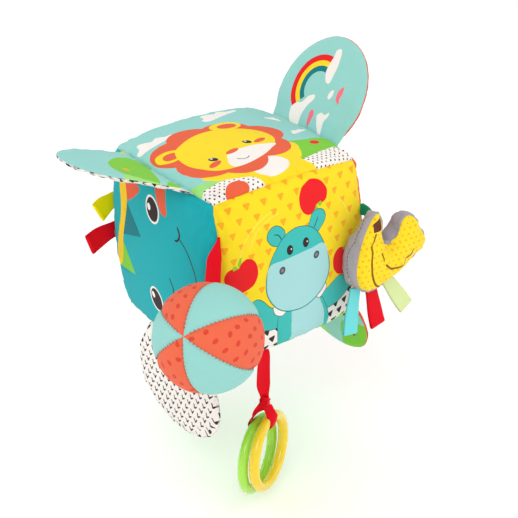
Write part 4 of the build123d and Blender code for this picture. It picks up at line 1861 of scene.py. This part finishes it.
def gusset_panel(outline):
    """The strip round the plush's edge, as one long flat piece closed end to end."""
    count = len(outline)
    runs = [0.0]
    for k in range(count):
        runs.append(runs[-1] + (outline[(k + 1) % count] - outline[k]).length)
    deep = PLUSH_BACK - PLUSH_FRONT

    def put(p):
        place = min(max(p.x, 0.0), runs[-1])
        k = 0
        while k < count - 1 and runs[k + 1] < place:
            k += 1
        share = (place - runs[k]) / (runs[k + 1] - runs[k])
        spot = outline[k].lerp(outline[(k + 1) % count], share)
        return Vector((spot.x, plush_depth(spot.y, p.y / deep), spot.y))

    rises = [deep * k / 7 for k in range(1, 7)]
    low = [point(run, 0) for run in runs]
    high = [point(run, deep) for run in reversed(runs)]
    edge = low + [point(runs[-1], r) for r in rises] + high + [point(0, r) for r in reversed(rises)]
    return Panel("plush_gusset_knit", edge, put, "grey", material="jersey",
                 nodes=("plush_gusset",), slot="grey_jersey")


def build_plush():
    """The plush: minky front, jersey edge and back, its closing seam and its filling."""
    outline = plush_outline()
    front = Panel("plush_front_minky", outline, plush_face(0.0), "minky", plush_print(),
                  material="minky", nodes=("plush_front",), slot="minky_yellow")
    back = Panel("plush_back_knit", outline, plush_face(1.0), "grey", material="jersey",
                 nodes=("plush_gusset",), slot="grey_jersey")
    gusset = gusset_panel(outline)
    panels = [front, back, gusset]
    sewn = Sewn("plush", panels, pressure=PLUSH_PRESSURE, cap=4.6, gather=0.05, ease=4.0)
    seam = Seam(depth=1.3, width=1.5, pucker=1.9, pucker_length=8.0, pucker_size=0.16)
    for panel in panels:
        ride_plush(fabric_object(panel, sewn, seam, pinched))
    build_closing_seam(gusset, sewn, seam)
    build_plush_filling(sewn)
    build_plush_ribbon()


def pinched(p):
    """Creases that run from the notch between the two bananas into the padding."""
    flat = Vector((p.x - NOTCH.x, 0, p.z - NOTCH.z))
    away = flat.length
    front = max(0.0, min(1.0, (PLUSH_MIDDLE - p.y) / 8)) * smooth(p.x, 66, 76)
    if away > 34 or flat.z > 6 or not front:
        return p
    angle = math.atan2(flat.z, flat.x)
    fold = math.sin(9 * angle + 0.06 * away) * math.exp(-away / 13) * min(1.0, away / 4)
    return p + Y * (2.3 * fold * front)


def ride_plush(piece):
    """Let a piece ride with the plush, with a mesh of its own."""
    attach(piece, "plush")
    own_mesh(piece)


def build_closing_seam(gusset, sewn, seam):
    """Ladder stitches that close the gusset down its left side, ending in a loose thread."""
    length = max(p.x for p in gusset.outline)
    deep = max(p.y for p in gusset.outline)
    rows = []
    stitch = 3.4
    place = length * 0.03
    while place < length * 0.24:
        a = gusset.place(point(place, deep * 0.48 + 1.2 * math.sin(place / 6)))
        b = gusset.place(point(place + stitch * 0.72, deep * 0.48 + 1.2 * math.sin((place + stitch) / 6)))
        out = sewn.carry(a)[1]
        rows.append((drawn_in(sewn, seam, a) + out * 0.1, drawn_in(sewn, seam, b) + out * 0.1, out))
        place += stitch
    ride_plush(stitches("plush_closing_stitches", rows, 0.28, "grey_thread"))
    spot = gusset.place(point(length * 0.235, deep * 0.4))
    out = sewn.carry(spot)[1]
    end = drawn_in(sewn, seam, spot) + out * 0.2
    loose = [(end, end + Vector((1.2, 0.4, -2.6)), out), (end, end + Vector((-0.6, -1.2, -2.2)), out)]
    ride_plush(stitches("plush_loose_thread", loose, 0.3, "white_thread"))


def build_plush_filling(sewn):
    """The fibre inside: the swollen form drawn in and roughened."""
    spots = []
    for p, shift, out in zip(sewn.points, sewn.shift, sewn.normals):
        spots.append(p + shift - out * (3.2 + 0.8 * noise.noise(p / 6)))
    piece = mesh_object("plush_filling", spots, sewn.triangles)
    finish_piece(piece, "fibre", ("plush_stuffing",))
    ride_plush(piece)


def build_plush_ribbon():
    """The short ribbon from the front right seam to the back of the plush's tip."""
    root = seam_corner(PLUSH_RIBBON_HEIGHT, 1, -1)
    inward = (CUBE_MIDDLE - root).normalized()
    end = Vector((root.x - 4, plush_depth(PLUSH_RIBBON_HEIGHT - 7, 1.0) - 1.0, PLUSH_RIBBON_HEIGHT))
    mid = root + Vector((0.8, -2.2, 0))
    start = root + inward * 2.0
    path = along(1.0, start, root + Vector((0.7, -0.7, 0)), mid, (mid + end) / 2 + X * 1.0, end)
    halves = [Z * 5.8 for _ in path]
    piece = band("plush_ribbon_strap", path, halves, RIBBON, "green_satin",
                 nodes=("plush_ribbon",))
    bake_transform(piece)


# ---------------------------------------------------------------- hidden parts and the studio

FLOOR_LEVEL = -160.0
FLOOR_HALF = 6.0            # metres
LOOKED_AT = Vector((0, 0, 0.05))    # where the lamps point, in metres


def finish_hidden_parts():
    """Materials for the CAD pieces inside the cube and the ball."""
    finishes = {
        "squeaker_bulb": "squeaker",
        "squeaker_reed": "reed",
        "rattle_capsule": "capsule",
        "rattle_beads": "bead",
    }
    for node, material in finishes.items():
        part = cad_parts[node]
        if not part.material_slots:
            part.data.materials.append(None)
        for holder in part.material_slots:
            holder.link = "OBJECT"
            holder.material = MATERIALS[material]


def studio_floor():
    """A wide white floor under the hanging flaps and rings."""
    n = Nodes("studio_floor")
    n.dye_and_shade(n.flat("FBFBFA"), n.span(n.noise(6.0), 0.99, 1.01))
    n.set(Roughness=0.9, Specular_IOR_Level=0.1, Emission_Color=linear("FFFFFF"), Emission_Strength=0.12)
    mesh = bpy.data.meshes.new("floor")
    level = FLOOR_LEVEL * MM
    around = ((-1, -1), (1, -1), (1, 1), (-1, 1))
    mesh.from_pydata([(x * FLOOR_HALF, y * FLOOR_HALF, level) for x, y in around], [], [(0, 1, 2, 3)])
    floor = bpy.data.objects.new("floor", mesh)
    bpy.context.scene.collection.objects.link(floor)
    mesh.materials.append(n.material)


def soft_light(name, place, size, power):
    """A square softbox that looks at the cube."""
    lamp = bpy.data.lights.new(name, "AREA")
    lamp.shape = "SQUARE"
    lamp.size = size
    lamp.energy = power
    holder = bpy.data.objects.new(name, lamp)
    holder.location = place
    holder.rotation_euler = (LOOKED_AT - Vector(place)).to_track_quat("-Z", "Y").to_euler()
    bpy.context.scene.collection.objects.link(holder)


def build_studio():
    """White floor and world, and three softboxes."""
    studio_floor()
    soft_light("key", (-1.4, -1.3, 2.0), 1.6, 23)
    soft_light("fill", (1.9, -1.4, 1.1), 1.8, 13)
    soft_light("back", (-0.9, 2.2, 1.9), 1.8, 14)
    world = bpy.data.worlds.new("studio")
    world.use_nodes = True
    world.node_tree.nodes["Background"].inputs["Color"].default_value = (1.0, 1.0, 1.0, 1.0)
    world.node_tree.nodes["Background"].inputs["Strength"].default_value = 0.74
    bpy.context.scene.world = world
    bpy.context.scene.view_settings.view_transform = "Standard"


def build_camera():
    """The camera, looking at the corner between the front and left faces from above."""
    lens = bpy.data.cameras.new("camera")
    lens.sensor_width = 36
    lens.lens = 76.45
    lens.clip_end = 50
    camera = bpy.data.objects.new("camera", lens)
    right = Vector((0.797, -0.603, -0.033)).normalized()
    back = Vector((-0.527, -0.720, 0.451)).normalized()
    up = back.cross(right)
    turn = Matrix((right, up, back)).transposed().to_4x4()
    camera.matrix_world = Matrix.Translation((-0.5167, -0.7387, 0.5036)) @ turn
    bpy.context.scene.collection.objects.link(camera)
    bpy.context.scene.camera = camera


build_cube()
build_foam()
for flap in FLAPS.values():
    build_flap(flap)
build_ball()
build_ball_ribbon()
build_strap()
build_ring("yellow_ring", YELLOW_CENTRE, "yellow_gel")
build_ring("green_ring", GREEN_CENTRE, "green_gel")
build_plush()
build_side_tags()
build_plush_tags()
finish_hidden_parts()
build_studio()
build_camera()
